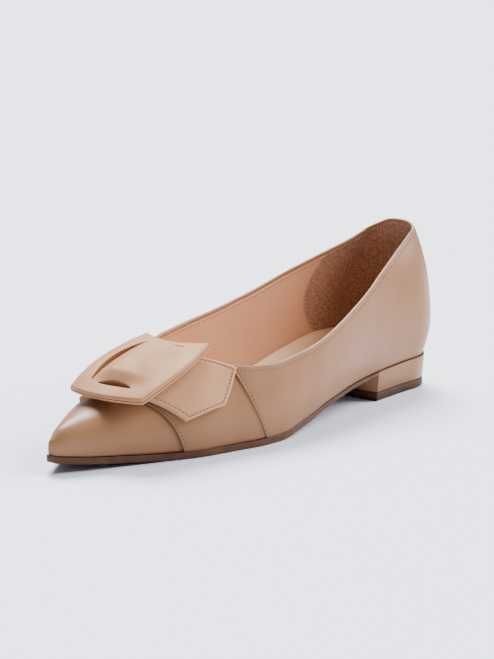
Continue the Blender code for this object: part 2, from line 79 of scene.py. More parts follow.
# Sections of the last: share of the length, half widths as shares of the ball width on the outer
# and the inner side, toe spring, heel rise, ridge and belly heights, tuck of the feather edge and
# roundness.
SECTIONS = np.array([
    (0.000, 0.000, 0.000, 1.15, 0.00, 0.13, 0.08, 0.000, 1.8),
    (0.010, 0.038, 0.038, 0.93, 0.00, 0.21, 0.10, 0.004, 1.8),
    (0.030, 0.078, 0.080, 0.78, 0.00, 0.315, 0.13, 0.008, 1.9),
    (0.056, 0.123, 0.134, 0.61, 0.00, 0.395, 0.15, 0.009, 1.95),
    (0.112, 0.208, 0.250, 0.36, 0.00, 0.52, 0.18, 0.010, 2.0),
    (0.187, 0.318, 0.362, 0.10, 0.00, 0.69, 0.21, 0.012, 2.0),
    (0.261, 0.425, 0.424, 0.00, 0.00, 0.87, 0.24, 0.015, 2.0),
    (0.317, 0.470, 0.446, 0.00, 0.00, 1.04, 0.26, 0.018, 2.0),
    (0.373, 0.516, 0.450, 0.00, 0.00, 1.26, 0.29, 0.020, 2.0),
    (0.430, 0.532, 0.452, 0.00, 0.03, 1.53, 0.32, 0.026, 2.0),
    (0.500, 0.518, 0.430, 0.00, 0.22, 1.76, 0.38, 0.044, 2.0),
    (0.600, 0.476, 0.392, 0.00, 0.57, 2.08, 0.48, 0.056, 2.0),
    (0.700, 0.416, 0.362, 0.00, 0.795, 2.08, 0.55, 0.054, 2.0),
    (0.800, 0.368, 0.350, 0.00, 0.89, 1.86, 0.56, 0.049, 1.9),
    (0.897, 0.342, 0.338, 0.00, 0.95, 1.74, 0.54, 0.045, 1.8),
    (1.000, 0.342, 0.338, 0.00, 1.00, 2.15, 0.47, 0.050, 1.8),
])

# Top edge behind the throat: share of the length, heights on the outer and the inner side
TOP_EDGE = (
    (0.320, 0.487, 0.533), (0.340, 0.458, 0.520), (0.368, 0.445, 0.514), (0.417, 0.441, 0.520),
    (0.462, 0.460, 0.538), (0.517, 0.485, 0.565), (0.580, 0.535, 0.600), (0.656, 0.613, 0.655),
    (0.734, 0.705, 0.730), (0.798, 0.785, 0.788), (0.870, 0.870, 0.855), (0.924, 0.930, 0.895),
    (0.960, 0.966, 0.935), (0.985, 0.990, 0.972), (1.000, 1.000, 1.000),
)


class Side(Enum):
    """Side of the foot, with the sign of its X."""

    OUTER = 1
    INNER = -1


class Seam(Enum):
    """Lines of the upper by the number of the strip that starts there."""

    TIP = 0
    FRONT = 13
    THROAT = 21
    REAR = 29
    HINGE = 44
    BACK = 54


def curve(x: np.ndarray, y: np.ndarray, at: np.ndarray) -> np.ndarray:
    """Reads a table along a curve that does not overshoot.

    Args:
        x: places of the rows, rising.
        y: values of the rows.
        at: places to read.

    Returns:
        The values at those places.
    """
    step = np.diff(x)
    slope = np.diff(y) / step
    same = slope[:-1] * slope[1:] > 0
    before, after = np.where(same, slope[:-1], 1), np.where(same, slope[1:], 1)
    tangent = np.zeros(len(x))
    both = (step[:-1] + step[1:]) / (step[1:] / before + step[:-1] / after)
    tangent[1:-1] = np.where(same, both, 0)
    tangent[0] = slope[0]
    at = np.clip(at, x[0], x[-1])
    k = np.clip(np.searchsorted(x, at, side="right") - 1, 0, len(x) - 2)
    t = (at - x[k]) / step[k]
    start = (1 + 2 * t) * (1 - t) ** 2 * y[k] + t * (1 - t) ** 2 * step[k] * tangent[k]
    return start + t * t * (3 - 2 * t) * y[k + 1] + t * t * (t - 1) * step[k] * tangent[k + 1]


def soft_step(value: np.ndarray) -> np.ndarray:
    """Runs softly from 0 to 1 while the value runs from 0 to 1."""
    value = np.clip(value, 0, 1)
    return value * value * (3 - 2 * value)


def rounded(distance: np.ndarray, radius: float) -> np.ndarray:
    """Height of a rounded edge, 0 on the edge and 1 from the radius inwards."""
    return np.sqrt(1 - (1 - np.clip(distance / radius, 0, 1)) ** 2)


def hill(distance: np.ndarray, width: float) -> np.ndarray:
    """Bell-shaped height, 1 in the middle and next to nothing from twice the width outwards."""
    return np.exp(-((distance / width) ** 2))


def unit(vectors: np.ndarray) -> np.ndarray:
    """The same directions with a length of 1."""
    return vectors / np.linalg.norm(vectors, axis=-1, keepdims=True)


def grid_faces(ids: np.ndarray) -> np.ndarray:
    """Faces between the points of a grid, as rows of four point numbers."""
    corners = (ids[:-1, :-1], ids[1:, :-1], ids[1:, 1:], ids[:-1, 1:])
    return np.stack([corner.ravel() for corner in corners], 1)


@dataclass
class Last:
    """The shape of the foot side of the shoe, as a fine table of points.

    Shares run from the toe (0) to the back (1) and from the feather edge (0) to the ridge (1).
    """

    length: float = 268 * MM
    ball_width: float = 80 * MM
    instep_height: float = 40 * MM
    back_height: float = 82.5 * MM
    heel_height: float = 16.5 * MM
    toe_spring: float = 5 * MM
    sole_thickness: float = 3.3 * MM
    sole_proud: float = 0.8 * MM
    gap: float = 0.3 * MM
    wall: float = 1.6 * MM
    hinge: float = 0.897
    throat: float = 0.298
    roundness: float = 2.1
    aside: float = -3.15 * MM
    front_stations: int = 700
    back_stations: int = 200
    belly_points: int = 17
    crown_points: int = 65
    girth_points: int = 129
    reach: float = field(init=False)
    toe_y: float = field(init=False)
    tables: dict = field(init=False)
    girths: dict = field(init=False)

    def __post_init__(self) -> None:
        """Fills the tables of points for both sides."""
        self.reach = self.length - self.sole_proud
        self.toe_y = self.sole_proud - self.length / 2
        front = self.hinge * np.linspace(0, 1, self.front_stations + 1) ** 2
        fan = np.linspace(0, math.pi / 2, self.back_stations + 1)[1:]
        at = np.concatenate([front, self.hinge + (1 - self.hinge) * np.sin(fan)])
        angle = np.concatenate([np.zeros(len(front)), fan])
        self.tables, self.girths = {}, {}
        for side in Side:
            self.tables[side], self.girths[side] = self._table(at, angle, side)

    def column(self, number: int, at: np.ndarray) -> np.ndarray:
        """Reads a column of the sections at shares of the length."""
        places = np.sqrt(np.maximum(at, 0))
        return curve(np.sqrt(SECTIONS[:, 0]), SECTIONS[:, number], places)

    def feather(self, at: np.ndarray) -> np.ndarray:
        """Height of the feather edge above the ground.

        Args:
            at: shares of the length.

        Returns:
            One height for each share.
        """
        pitch = self.heel_height - self.sole_thickness
        base = self.sole_thickness + self.gap
        return base + self.toe_spring * self.column(3, at) + pitch * self.column(4, at)

    def _table(
        self, at: np.ndarray, angle: np.ndarray, side: Side
    ) -> tuple[np.ndarray, np.ndarray]:
        """Makes the points of one side.

        Args:
            at: shares of the length of the stations.
            angle: angle of each station about the heel's centre.
            side: side of the foot.

        Returns:
            Points by station and share of the girth, and the half girth of each station.
        """
        number = 1 if side is Side.OUTER else 2
        width = self.ball_width * self.column(number, np.minimum(at, self.hinge))
        depth = self.reach * (1 - self.hinge)
        power = self.roundness
        across = (np.cos(angle) / np.maximum(width, TINY)) ** power
        behind = (np.sin(angle) / depth) ** power
        width = np.where(angle > 0, (across + behind) ** (-1 / power), width)[:, None]
        crown = self.instep_height * self.column(5, at)[:, None]
        belly = self.instep_height * self.column(6, at)[:, None]
        tuck = self.ball_width * self.column(7, at)[:, None]
        full = self.column(8, at)[:, None]
        low = np.linspace(0, 1, self.belly_points)[None, :]
        up = np.linspace(0, math.pi / 2, self.crown_points)[None, 1:]
        across = np.hstack([width - tuck * (1 - low) ** 2, width * np.cos(up) ** (2 / full)])
        across[:, -1] = 0
        height = np.hstack([belly * low, belly + (crown - belly) * np.sin(up)])
        steps = np.hypot(np.diff(across), np.diff(height))
        travel = np.hstack([np.zeros((len(at), 1)), np.cumsum(steps, axis=1)])
        shares = np.linspace(0, 1, self.girth_points)
        points = np.zeros((len(at), self.girth_points, 3))
        floor = self.feather(at)
        for k in range(len(at)):
            reach = np.interp(shares * travel[k, -1], travel[k], across[k])
            points[k, :, 2] = floor[k] + np.interp(shares * travel[k, -1], travel[k], height[k])
            points[k, :, 0] = side.value * reach * math.cos(angle[k]) + self.aside
            centre = self.toe_y + self.reach * min(at[k], self.hinge)
            points[k, :, 1] = centre + reach * math.sin(angle[k])
        return points, travel[:, -1]

    def index(self, at: np.ndarray) -> np.ndarray:
        """Place of shares of the length in the table's stations.

        Args:
            at: shares of the length.

        Returns:
            Station numbers, whole or not.
        """
        at = np.clip(np.asarray(at, float), 0, 1)
        fan = np.arcsin(np.clip((at - self.hinge) / (1 - self.hinge), 0, 1)) / (math.pi / 2)
        ahead = self.front_stations * np.sqrt(at / self.hinge)
        return np.where(at <= self.hinge, ahead, self.front_stations + self.back_stations * fan)

    def point(self, at: np.ndarray, share: np.ndarray, side: Side) -> np.ndarray:
        """Reads the surface.

        Args:
            at: shares of the length.
            share: shares of the half girth.
            side: side of the foot.

        Returns:
            Points, with the last axis for X, Y and Z.
        """
        table = self.tables[side]
        u = self.index(at)
        s = np.clip(np.asarray(share, float), 0, 1) * (self.girth_points - 1)
        i = np.clip(u.astype(int), 0, len(table) - 2)
        j = np.clip(s.astype(int), 0, self.girth_points - 2)
        f, g = (u - i)[..., None], (s - j)[..., None]
        low = table[i, j] * (1 - f) + table[i + 1, j] * f
        high = table[i, j + 1] * (1 - f) + table[i + 1, j + 1] * f
        return low * (1 - g) + high * g

    def half_girth(self, at: np.ndarray, side: Side) -> np.ndarray:
        """Length of the surface from the feather edge to the ridge."""
        girths = self.girths[side]
        return np.interp(self.index(at), np.arange(len(girths)), girths)

    def over_vamp(self, at: np.ndarray, girth: np.ndarray) -> np.ndarray:
        """Points at a distance over the ridge.

        Args:
            at: shares of the length.
            girth: distance from the ridge, positive towards the outer side.

        Returns:
            The points.
        """
        girth = np.asarray(girth, float)
        outer, inner = (
            self.point(at, 1 - np.abs(girth) / self.half_girth(at, side), side) for side in Side
        )
        return np.where(girth[..., None] >= 0, outer, inner)

    def vamp_normal(self, at: np.ndarray, girth: np.ndarray) -> np.ndarray:
        """Outward directions at a distance over the ridge.

        Args:
            at: shares of the length.
            girth: distance from the ridge, positive towards the outer side.

        Returns:
            One direction for each point.
        """
        near, beside = 0.004, 1.5 * MM
        along = self.over_vamp(at + near, girth) - self.over_vamp(at - near, girth)
        around = self.over_vamp(at, girth + beside) - self.over_vamp(at, girth - beside)
        return unit(np.cross(around, along))

    def top_share(self, at: float, side: Side) -> float:
        """Share of the half girth that the leather reaches.

        Args:
            at: share of the length.
            side: side of the foot.

        Returns:
            1 for the ridge, or less where the top edge lies behind the throat.
        """
        if at <= self.throat:
            return 1.0
        ridge = float(self.point(np.array(self.throat), np.array(1.0), side)[2])
        start = (self.throat, ridge / self.back_height, ridge / self.back_height)
        rows = np.array((start,) + TOP_EDGE)
        column = rows[:, 1 if side is Side.OUTER else 2]
        here = curve(np.sqrt(rows[:, 0]), column, np.sqrt(np.array([at])))
        height = self.back_height * float(here[0])
        shares = np.linspace(0, 1, self.girth_points)
        heights = self.point(np.full(self.girth_points, at), shares, side)[:, 2]
        return float(np.interp(height, heights, shares))

    def outline(self, grow: float, stations: np.ndarray) -> dict[Side, np.ndarray]:
        """Plan outline of the feather edge.

        Args:
            grow: distance that the outline is set out by.
            stations: shares of the length.

        Returns:
            The outline's X and Y on both sides.
        """
        lines = {}
        for side in Side:
            line = self.point(stations, np.zeros(len(stations)), side)[:, :2]
            ahead = np.gradient(line, axis=0)
            if stations[0] == 0:
                ahead[0] = (side.value, 0)
            if stations[-1] == 1:
                ahead[-1] = (-side.value, 0)
            ahead = unit(ahead)
            lines[side] = line + np.stack([ahead[:, 1], -ahead[:, 0]], 1) * side.value * grow
        return lines

    def along(self, y: np.ndarray) -> np.ndarray:
        """Share of the length at places along Y."""
        return np.clip((y - self.toe_y) / self.reach, 0, 1)


# Lines of the upper: feet on both sides, head, forward bow on both sides
LINES = {
    Seam.TIP: (0.000, 0.000, 0.000, 0.000, 0.000),
    Seam.FRONT: (0.217, 0.217, 0.143, 0.000, 0.000),
    Seam.THROAT: (0.300, 0.295, 0.298, 0.008, 0.006),
    Seam.REAR: (0.384, 0.368, 0.338, 0.014, 0.012),
    Seam.HINGE: (0.897, 0.897, 0.897, 0.000, 0.000),
    Seam.BACK: (1.000, 1.000, 1.000, 0.000, 0.000),
}
TIP_CROWDING = 1.6


def strip_line(number: float) -> list[float]:
    """One line across the upper.

    Args:
        number: strip number from 0 at the tip to 54 at the back, whole or not.

    Returns:
        Feet on the outer and the inner side, head, and the bow on both sides.
    """
    marks = list(Seam)
    passed = (mark for mark in marks[:-1] if mark.value <= number)
    first = max(passed, key=lambda mark: mark.value)
    second = marks[marks.index(first) + 1]
    t = (number - first.value) / (second.value - first.value)
    if first is Seam.TIP:
        t = t**TIP_CROWDING
    start, end = LINES[first], LINES[second]
    line = [a + (b - a) * t for a, b in zip(start, end)]
    if first is Seam.THROAT:
        line[2] = start[2] + (end[2] - start[2]) * t * t
    if first is Seam.HINGE:
        line[:3] = [start[2] + (1 - start[2]) * math.sin(t * math.pi / 2)] * 3
    return line


def bowed(line: list[float], side: Side, rows: np.ndarray) -> np.ndarray:
    """Shares of the length along a line of the upper, from its foot to its head."""
    k = 0 if side is Side.OUTER else 1
    return line[k] + (line[2] - line[k]) * rows - line[3 + k] * 4 * rows * (1 - rows)


def soft_read(table: np.ndarray, at: np.ndarray) -> np.ndarray:
    """Reads the rows of a table between them, along a curve without kinks.

    Args:
        table: rows of values.
        at: places between the rows, at least one row from either end.

    Returns:
        The values at those places.
    """
    k = np.clip(at.astype(int), 1, len(table) - 3)
    t = (at - k).reshape(-1, *[1] * (table.ndim - 1))
    before, here, after, beyond = table[k - 1], table[k], table[k + 1], table[k + 2]
    turn = t * (3 * (here - after) + beyond - before)
    bend = 2 * before - 5 * here + 4 * after - beyond + turn
    return here + 0.5 * t * (after - before + t * bend)


EASE_STRIPS = 5
EASE_PASSES = 4


def lie(
    last: Last, numbers: np.ndarray, rows: np.ndarray, side: Side, drop: float = 0.0
) -> tuple[np.ndarray, np.ndarray, np.ndarray]:
    """Points of the upper's surface by strip number and row.

    The rows bend softly where the fan of the heel starts, as they do in the solids.

    Args:
        last: the last that carries the leather.
        numbers: strip numbers.
        rows: shares of the way from the feather edge to the ridge or the top edge.
        side: side of the foot.
        drop: how far the top row stays below the top edge.

    Returns:
        Points, shares of the length and shares of the half girth, by strip and row.
    """

    def raw(strips: np.ndarray) -> tuple[np.ndarray, np.ndarray, np.ndarray]:
        """Points before they are eased.

        Args:
            strips: strip numbers.

        Returns:
            Points, shares of the length and shares of the half girth.
        """
        at, share = np.zeros((len(strips), len(rows))), np.zeros((len(strips), len(rows)))
        for i, number in enumerate(strips):
            line = strip_line(number)
            at[i] = bowed(line, side, rows)
            opened = min(max(number - Seam.THROAT.value, 0), 1)
            lower = drop / float(last.half_girth(np.array(line[2]), side)) * opened
            share[i] = (last.top_share(line[2], side) - lower) * rows
        return last.point(at, share, side), at, share

    numbers = np.asarray(numbers, float)
    points, at, share = raw(numbers)
    first = Seam.HINGE.value - EASE_STRIPS
    soft = raw(np.arange(first, Seam.HINGE.value + EASE_STRIPS + 1.0))[0]
    for _ in range(EASE_PASSES):
        soft[1:-1] += 0.5 * rows[None, :, None] * ((soft[:-2] + soft[2:]) / 2 - soft[1:-1])
    place = numbers - first
    end = 2 * EASE_STRIPS - 1
    near = (place > 1) & (place < end)
    if near.any():
        blend = soft_step(np.minimum(place[near] - 1, end - place[near]))[:, None, None]
        points[near] += blend * (soft_read(soft, place[near]) - points[near])
    return points, at, share


class Sheet:
    """A grid of points on the last between two lines of the upper, its two sides joined."""

    def __init__(
        self, last: Last, numbers: np.ndarray, rows: np.ndarray, drop: float = 0.0
    ) -> None:
        """Makes the grid.

        Args:
            last: the last it lies on.
            numbers: strip numbers of its columns.
            rows: shares of the way from the feather edge to the ridge or the top edge.
            drop: how far the top row stays below the top edge.
        """
        self.numbers = numbers
        count, height = len(numbers), len(rows)
        ids = np.arange(2 * count * height).reshape(2, count, height)
        laid = [lie(last, numbers, rows, side, drop) for side in Side]
        points, places = (np.array([part[k] for part in laid]) for k in (0, 1))
        if rows[-1] == 1:
            joined = numbers <= Seam.THROAT.value
            ids[1, joined, -1] = ids[0, joined, -1]
        for i, number in enumerate(numbers):
            if number in (Seam.TIP.value, Seam.BACK.value):
                ids[1, i] = ids[0, i]
        used, packed = np.unique(ids, return_inverse=True)
        self.ids = packed.reshape(ids.shape)
        self.points = points.reshape(-1, 3)[used]
        self.number = np.broadcast_to(numbers[None, :, None], ids.shape).ravel()[used]
        self.row = np.broadcast_to(rows[None, None, :], ids.shape).ravel()[used]
        self.behind = ((places - places[:, :1, :]) * last.reach).ravel()[used]
        self.quads = np.concatenate([grid_faces(self.ids[0]), grid_faces(self.ids[1])[:, ::-1]])
        self.normals = grid_normals(self.points, self.quads)

    def raised(self, lift: np.ndarray) -> np.ndarray:
        """The points moved along the surface's normals by a lift each."""
        return self.points + self.normals * lift[:, None]


def grid_normals(points: np.ndarray, quads: np.ndarray) -> np.ndarray:
    """Direction in which each point of a sheet faces.

    Args:
        points: the sheet's points.
        quads: its faces.

    Returns:
        One unit normal for each point.
    """
    normals = np.zeros_like(points)
    a, b, c, d = (points[quads[:, k]] for k in range(4))
    facing = np.cross(c - a, d - b)
    for k in range(4):
        np.add.at(normals, quads[:, k], facing)
    return normals / np.maximum(np.linalg.norm(normals, axis=1), 1e-12)[:, None]


def add_piece(
    name: str,
    points: np.ndarray,
    faces: np.ndarray,
    material: bpy.types.Material,
    marks: Optional[dict[str, np.ndarray]] = None,
    closed: bool = False,
) -> bpy.types.Object:
    """Makes an object from points and faces.

    Args:
        name: its name.
        points: its points in metres.
        faces: point numbers of each face.
        material: its material.
        marks: named values for each point, for the material to read.
        closed: turns the faces of a closed body outwards.

    Returns:
        The new object.
    """
    mesh = bpy.data.meshes.new(name)
    corners = [list(dict.fromkeys(int(k) for k in face)) for face in faces]
    kept = [face for face in corners if len(face) > 2]
    mesh.from_pydata([tuple(point) for point in points], [], kept)
    for label, values in (marks or {}).items():
        layer = mesh.attributes.new(label, "FLOAT", "POINT")
        layer.data.foreach_set("value", np.asarray(values, np.float32))
    body = bmesh.new()
    body.from_mesh(mesh)
    bmesh.ops.remove_doubles(body, verts=body.verts, dist=WELD)
    if closed:
        bmesh.ops.recalc_face_normals(body, faces=body.faces)
    body.to_mesh(mesh)
    body.free()
    mesh.materials.append(material)
    mesh.shade_smooth()
    return linked(bpy.data.objects.new(name, mesh))


def linked(thing: bpy.types.Object) -> bpy.types.Object:
    """Puts an object in the scene."""
    bpy.context.scene.collection.objects.link(thing)
    return thing


def surface_of(thing: bpy.types.Object) -> BVHTree:
    """Search tree over the faces of an object."""
    corners = [vertex.co for vertex in thing.data.vertices]
    return BVHTree.FromPolygons(corners, [face.vertices for face in thing.data.polygons])


class Nodes:
    """Short way to lay nodes and links in one tree."""

    def __init__(self, tree: bpy.types.NodeTree) -> None:
        """Keeps the tree."""
        self.tree = tree

    def feed(self, node: bpy.types.Node, inputs: dict) -> bpy.types.Node:
        """Sets or links inputs of a node.

        Args:
            node: the node.
            inputs: values or sockets for its inputs, by name or number.

        Returns:
            The node.
        """
        for name, value in inputs.items():
            if isinstance(value, bpy.types.NodeSocket):
                self.tree.links.new(value, node.inputs[name])
            else:
                node.inputs[name].default_value = value
        return node

    def add(
        self, kind: str, inputs: Optional[dict] = None, **settings: object
    ) -> bpy.types.Node:
        """Lays a node.

        Args:
            kind: type of the node.
            inputs: values or sockets for its inputs, by name or number.
            settings: other properties of the node.

        Returns:
            The node.
        """
        node = self.tree.nodes.new(kind)
        for name, value in settings.items():
            setattr(node, name, value)
        return self.feed(node, inputs or {})

    def math(self, operation: str, first: object, second: object = 0.0) -> bpy.types.NodeSocket:
        """Lays a Math node and returns its output."""
        return self.add("ShaderNodeMath", {0: first, 1: second}, operation=operation).outputs[0]

    def mix(self, share: object, first: object, second: object) -> bpy.types.NodeSocket:
        """Lays a node that mixes two colours and returns its output."""
        inputs = {"Factor": share, "A": first, "B": second}
        return self.add("ShaderNodeMix", inputs, data_type="RGBA").outputs["Result"]


def new_group(
    name: str,
    takes: dict[str, tuple[str, object]],
    gives: dict[str, str],
    kind: str = "ShaderNodeTree",
) -> tuple[Nodes, bpy.types.Node]:
    """Starts a node group.

    Args:
        name: its name.
        takes: type and default value of each input.
        gives: type of each output.
        kind: type of the tree.

    Returns:
        The tree's node maker and its input node.
    """
    tree = bpy.data.node_groups.new(name, kind)
    for label, (socket_type, value) in takes.items():
        socket = tree.interface.new_socket(label, in_out="INPUT", socket_type=socket_type)
        if value is not None:
            socket.default_value = value
    for label, socket_type in gives.items():
        tree.interface.new_socket(label, in_out="OUTPUT", socket_type=socket_type)
    nodes = Nodes(tree)
    return nodes, nodes.add("NodeGroupInput")


def new_material(name: str) -> tuple[bpy.types.Material, Nodes, bpy.types.Node]:
    """Starts a material.

    Args:
        name: its name.

    Returns:
        The material, its node maker and its shader.
    """
    material = bpy.data.materials.new(name)
    material.use_nodes = True
    return material, Nodes(material.node_tree), material.node_tree.nodes["Principled BSDF"]


def grain_group() -> bpy.types.NodeTree:
    """Leather grain: fine cells with soft valleys over a slower wave.

    Returns:
        The group, with Height and Patch outputs.
    """
    takes = {
        "Vector": ("NodeSocketVector", None),
        "Cells": ("NodeSocketFloat", 1500.0),
        "Waves": ("NodeSocketFloat", 60.0),
    }
    gives = {"Height": "NodeSocketFloat", "Patch": "NodeSocketFloat"}
    nodes, given = new_group("leather_grain", takes, gives)
    where, size = given.outputs["Vector"], given.outputs["Cells"]
    cells = nodes.add(
        "ShaderNodeTexVoronoi", {"Vector": where, "Scale": size}, feature="SMOOTH_F1"
    )
    fine = nodes.add("ShaderNodeTexNoise", {"Vector": where, "Scale": size, "Detail": 3.0})
    slow = {"Vector": where, "Scale": given.outputs["Waves"], "Detail": 4.0}
    wave = nodes.add("ShaderNodeTexNoise", slow)
    pores = nodes.math("MULTIPLY", cells.outputs["Distance"], 0.6)
    rough = nodes.math("MULTIPLY", fine.outputs[0], 0.4)
    height = nodes.math("ADD", pores, rough)
    nodes.add("NodeGroupOutput", {"Height": height, "Patch": wave.outputs[0]})
    return nodes.tree


def tone_group() -> bpy.types.NodeTree:
    """Colour that varies in soft patches, with painted shade in seams and creases.

    Returns:
        The group, with a Color output.
    """
    takes = {
        "Color": ("NodeSocketColor", (0.6, 0.4, 0.3, 1)),
        "Patch Color": ("NodeSocketColor", (0.5, 0.3, 0.2, 1)),
        "Painted Shade Color": ("NodeSocketColor", (0.2, 0.1, 0.05, 1)),
        "Patch": ("NodeSocketFloat", 0.5),
        "Patch Amount": ("NodeSocketFloat", 0.5),
        "Crevice": ("NodeSocketFloat", 0.0),
    }
    nodes, node = new_group("leather_tone", takes, {"Color": "NodeSocketColor"})
    given = node.outputs
    reach = {"Value": given["Patch"], "From Min": 0.35, "From Max": 0.65}
    spread = nodes.add("ShaderNodeMapRange", reach).outputs[0]
    share = nodes.math("MULTIPLY", spread, given["Patch Amount"])
    patched = nodes.mix(share, given["Color"], given["Patch Color"])
    # Painted shade: mixes towards the shade colour where the piece's shade values say
    shaded = nodes.mix(given["Crevice"], patched, given["Painted Shade Color"])
    nodes.add("NodeGroupOutput", {"Color": shaded})
    return nodes.tree


@dataclass(frozen=True)
class LeatherFinish:
    """A leather: its colours, shine and grain."""

    name: str
    colour: Colour
    patch: Colour
    # Colour of the painted shade in seams, creases and hollows
    crevice: Colour
    roughness: float
    spread: float
    cells: float
    depth: float
    waves: float = 45.0
    patch_amount: float = 0.5
    coat: float = 0.0
    coat_roughness: float = 0.3
    gloss: float = 0.28
    nap: tuple[Colour, ...] = ()
    nap_grain: float = 1000.0
    nap_roughness: float = 0.95

    def build(self, grain: bpy.types.NodeTree, tone: bpy.types.NodeTree) -> bpy.types.Material:
        """Makes the material.

        Args:
            grain: the grain group.
            tone: the colour group.

        Returns:
            The material, which reads the piece's values of painted shade.
        """
        material, nodes, shader = new_material(self.name)
        where = nodes.add("ShaderNodeTexCoord").outputs["Object"]
        inputs = {"Vector": where, "Cells": self.cells, "Waves": self.waves}
        hide = nodes.add("ShaderNodeGroup", inputs, node_tree=grain)
        inputs = {
            "Color": (*self.colour, 1),
            "Patch Color": (*self.patch, 1),
            "Painted Shade Color": (*self.crevice, 1),
            "Patch Amount": self.patch_amount,
            "Patch": hide.outputs["Patch"],
            "Crevice": nodes.add("ShaderNodeAttribute", attribute_name="crevice").outputs["Fac"],
        }
        colour = nodes.add("ShaderNodeGroup", inputs, node_tree=tone).outputs["Color"]
        inputs = {
            "Value": hide.outputs["Patch"],
            "From Min": 0.3,
            "From Max": 0.7,
            "To Min": self.roughness - self.spread,
            "To Max": self.roughness + self.spread,
        }
        shine = nodes.add("ShaderNodeMapRange", inputs).outputs[0]
        if self.nap:
            colour, shine = self._napped(nodes, where, colour, shine)
        inputs = {"Strength": 1.0, "Distance": self.depth, "Height": hide.outputs["Height"]}
        nodes.feed(shader, {
            "Base Color": colour,
            "Roughness": shine,
            "Normal": nodes.add("ShaderNodeBump", inputs).outputs[0],
            "Coat Weight": self.coat,
            "Coat Roughness": self.coat_roughness,
            "Specular IOR Level": self.gloss,
        })
        return material

    def _napped(
        self,
        nodes: Nodes,
        where: bpy.types.NodeSocket,
        colour: bpy.types.NodeSocket,
        shine: bpy.types.NodeSocket,
    ) -> tuple[bpy.types.NodeSocket, bpy.types.NodeSocket]:
        """Mixes in a brushed, mottled surface where the piece's "grip" value says.

        Args:
            nodes: node maker of the material.
            where: place to read the pattern at.
            colour: colour of the smooth leather.
            shine: roughness of the smooth leather.

        Returns:
            The mixed colour and roughness.
        """
        grip = nodes.add("ShaderNodeAttribute", attribute_name="grip").outputs["Fac"]
        inputs = {"Vector": where, "Scale": self.nap_grain, "Detail": 5.0, "Roughness": 0.6}
        mottle = nodes.add("ShaderNodeTexNoise", inputs).outputs[0]
        inputs = {"Value": mottle, "From Min": 0.38, "From Max": 0.62}
        spread = nodes.add("ShaderNodeMapRange", inputs).outputs[0]
        brushed = nodes.mix(spread, *((*tone, 1) for tone in self.nap))
        dull = nodes.math("MAXIMUM", shine, nodes.math("MULTIPLY", grip, self.nap_roughness))
        return nodes.mix(grip, colour, brushed), dull


@dataclass(frozen=True)
class Crease:
    """A soft trough or swelling in the leather, from one place on the upper to another.

    Its ends are shares of the length and of the half girth, and a swelling has a negative depth.
    """

    side: Side
    start: tuple[float, float]
    end: tuple[float, float]
    depth: float
    width: float
    pieces: int = 8

    def lift(self, last: Last, points: np.ndarray) -> np.ndarray:
        """How far the leather moves out at some points.

        Args:
            last: the last that carries the leather.
            points: places on it.

        Returns:
            One distance for each point, negative in a trough.
        """
        t = np.linspace(0, 1, self.pieces + 1)
        at = self.start[0] + (self.end[0] - self.start[0]) * t
        share = self.start[1] + (self.end[1] - self.start[1]) * t
        line = last.point(at, share, self.side)
        total = np.zeros(len(points))
        for k, (a, b) in enumerate(zip(line, line[1:])):
            run = b - a
            along = np.clip((points - a) @ run / (run @ run), 0, 1)
            away = np.linalg.norm(points - a - along[:, None] * run, axis=1)
            place = np.clip((k + along) / self.pieces, 0.02, 0.98)
            total = np.maximum(total, hill(away, self.width) * np.sin(math.pi * place) ** 0.6)
        return -self.depth * total


CREASES = (
    Crease(Side.OUTER, (0.43, 0.10), (0.50, 0.60), 0.28 * MM, 5.5 * MM),
    Crease(Side.OUTER, (0.47, 0.08), (0.55, 0.52), 0.23 * MM, 6.0 * MM),
    Crease(Side.OUTER, (0.56, 0.05), (0.62, 0.45), 0.25 * MM, 7.5 * MM),
    Crease(Side.OUTER, (0.66, 0.10), (0.74, 0.62), -0.23 * MM, 8.5 * MM),
    Crease(Side.OUTER, (0.80, 0.10), (0.83, 0.55), 0.20 * MM, 7.5 * MM),
    Crease(Side.OUTER, (0.90, 0.45), (0.99, 0.30), 0.17 * MM, 6.5 * MM),
    Crease(Side.OUTER, (0.86, 0.62), (0.97, 0.70), -0.17 * MM, 7.5 * MM),
    Crease(Side.INNER, (0.44, 0.10), (0.52, 0.62), 0.25 * MM, 6.0 * MM),
    Crease(Side.INNER, (0.54, 0.10), (0.60, 0.60), 0.28 * MM, 6.5 * MM),
    Crease(Side.INNER, (0.63, 0.12), (0.68, 0.58), -0.23 * MM, 7.5 * MM),
    Crease(Side.INNER, (0.72, 0.10), (0.76, 0.62), 0.25 * MM, 7.5 * MM),
    Crease(Side.INNER, (0.46, 0.35), (0.56, 0.75), -0.30 * MM, 3.5 * MM),
    Crease(Side.INNER, (0.50, 0.30), (0.60, 0.70), 0.30 * MM, 3.5 * MM),
    Crease(Side.INNER, (0.57, 0.25), (0.66, 0.70), -0.30 * MM, 4.0 * MM),
    Crease(Side.INNER, (0.88, 0.30), (0.98, 0.42), 0.17 * MM, 7.5 * MM),
)


def creased(last: Last, points: np.ndarray) -> np.ndarray:
    """Sum of every crease at some points of the leather."""
    return sum((crease.lift(last, points) for crease in CREASES), np.zeros(len(points)))


# Places of a panel's first columns behind its front edge, in millimetres
EDGE_COLUMNS = (0, 0.06, 0.14, 0.24, 0.36, 0.5, 0.66, 0.85, 1.1, 1.4, 1.75, 2.1, 2.5)


def seam_columns(first: Seam, second: Seam, pitch: float, per_strip: int) -> np.ndarray:
    """Strip numbers of a panel's columns, closer together behind its front edge.

    Args:
        first: line that the panel starts at.
        second: line that it ends at.
        pitch: width of one strip in metres, roughly.
        per_strip: columns in each strip.

    Returns:
        The strip numbers.
    """
    near = np.array(EDGE_COLUMNS) * MM / pitch
    count = (second.value - first.value) * per_strip
    rest = np.linspace(0, second.value - first.value, count + 1)
    return first.value + np.concatenate([near, rest[rest > near[-1] + 0.04]])


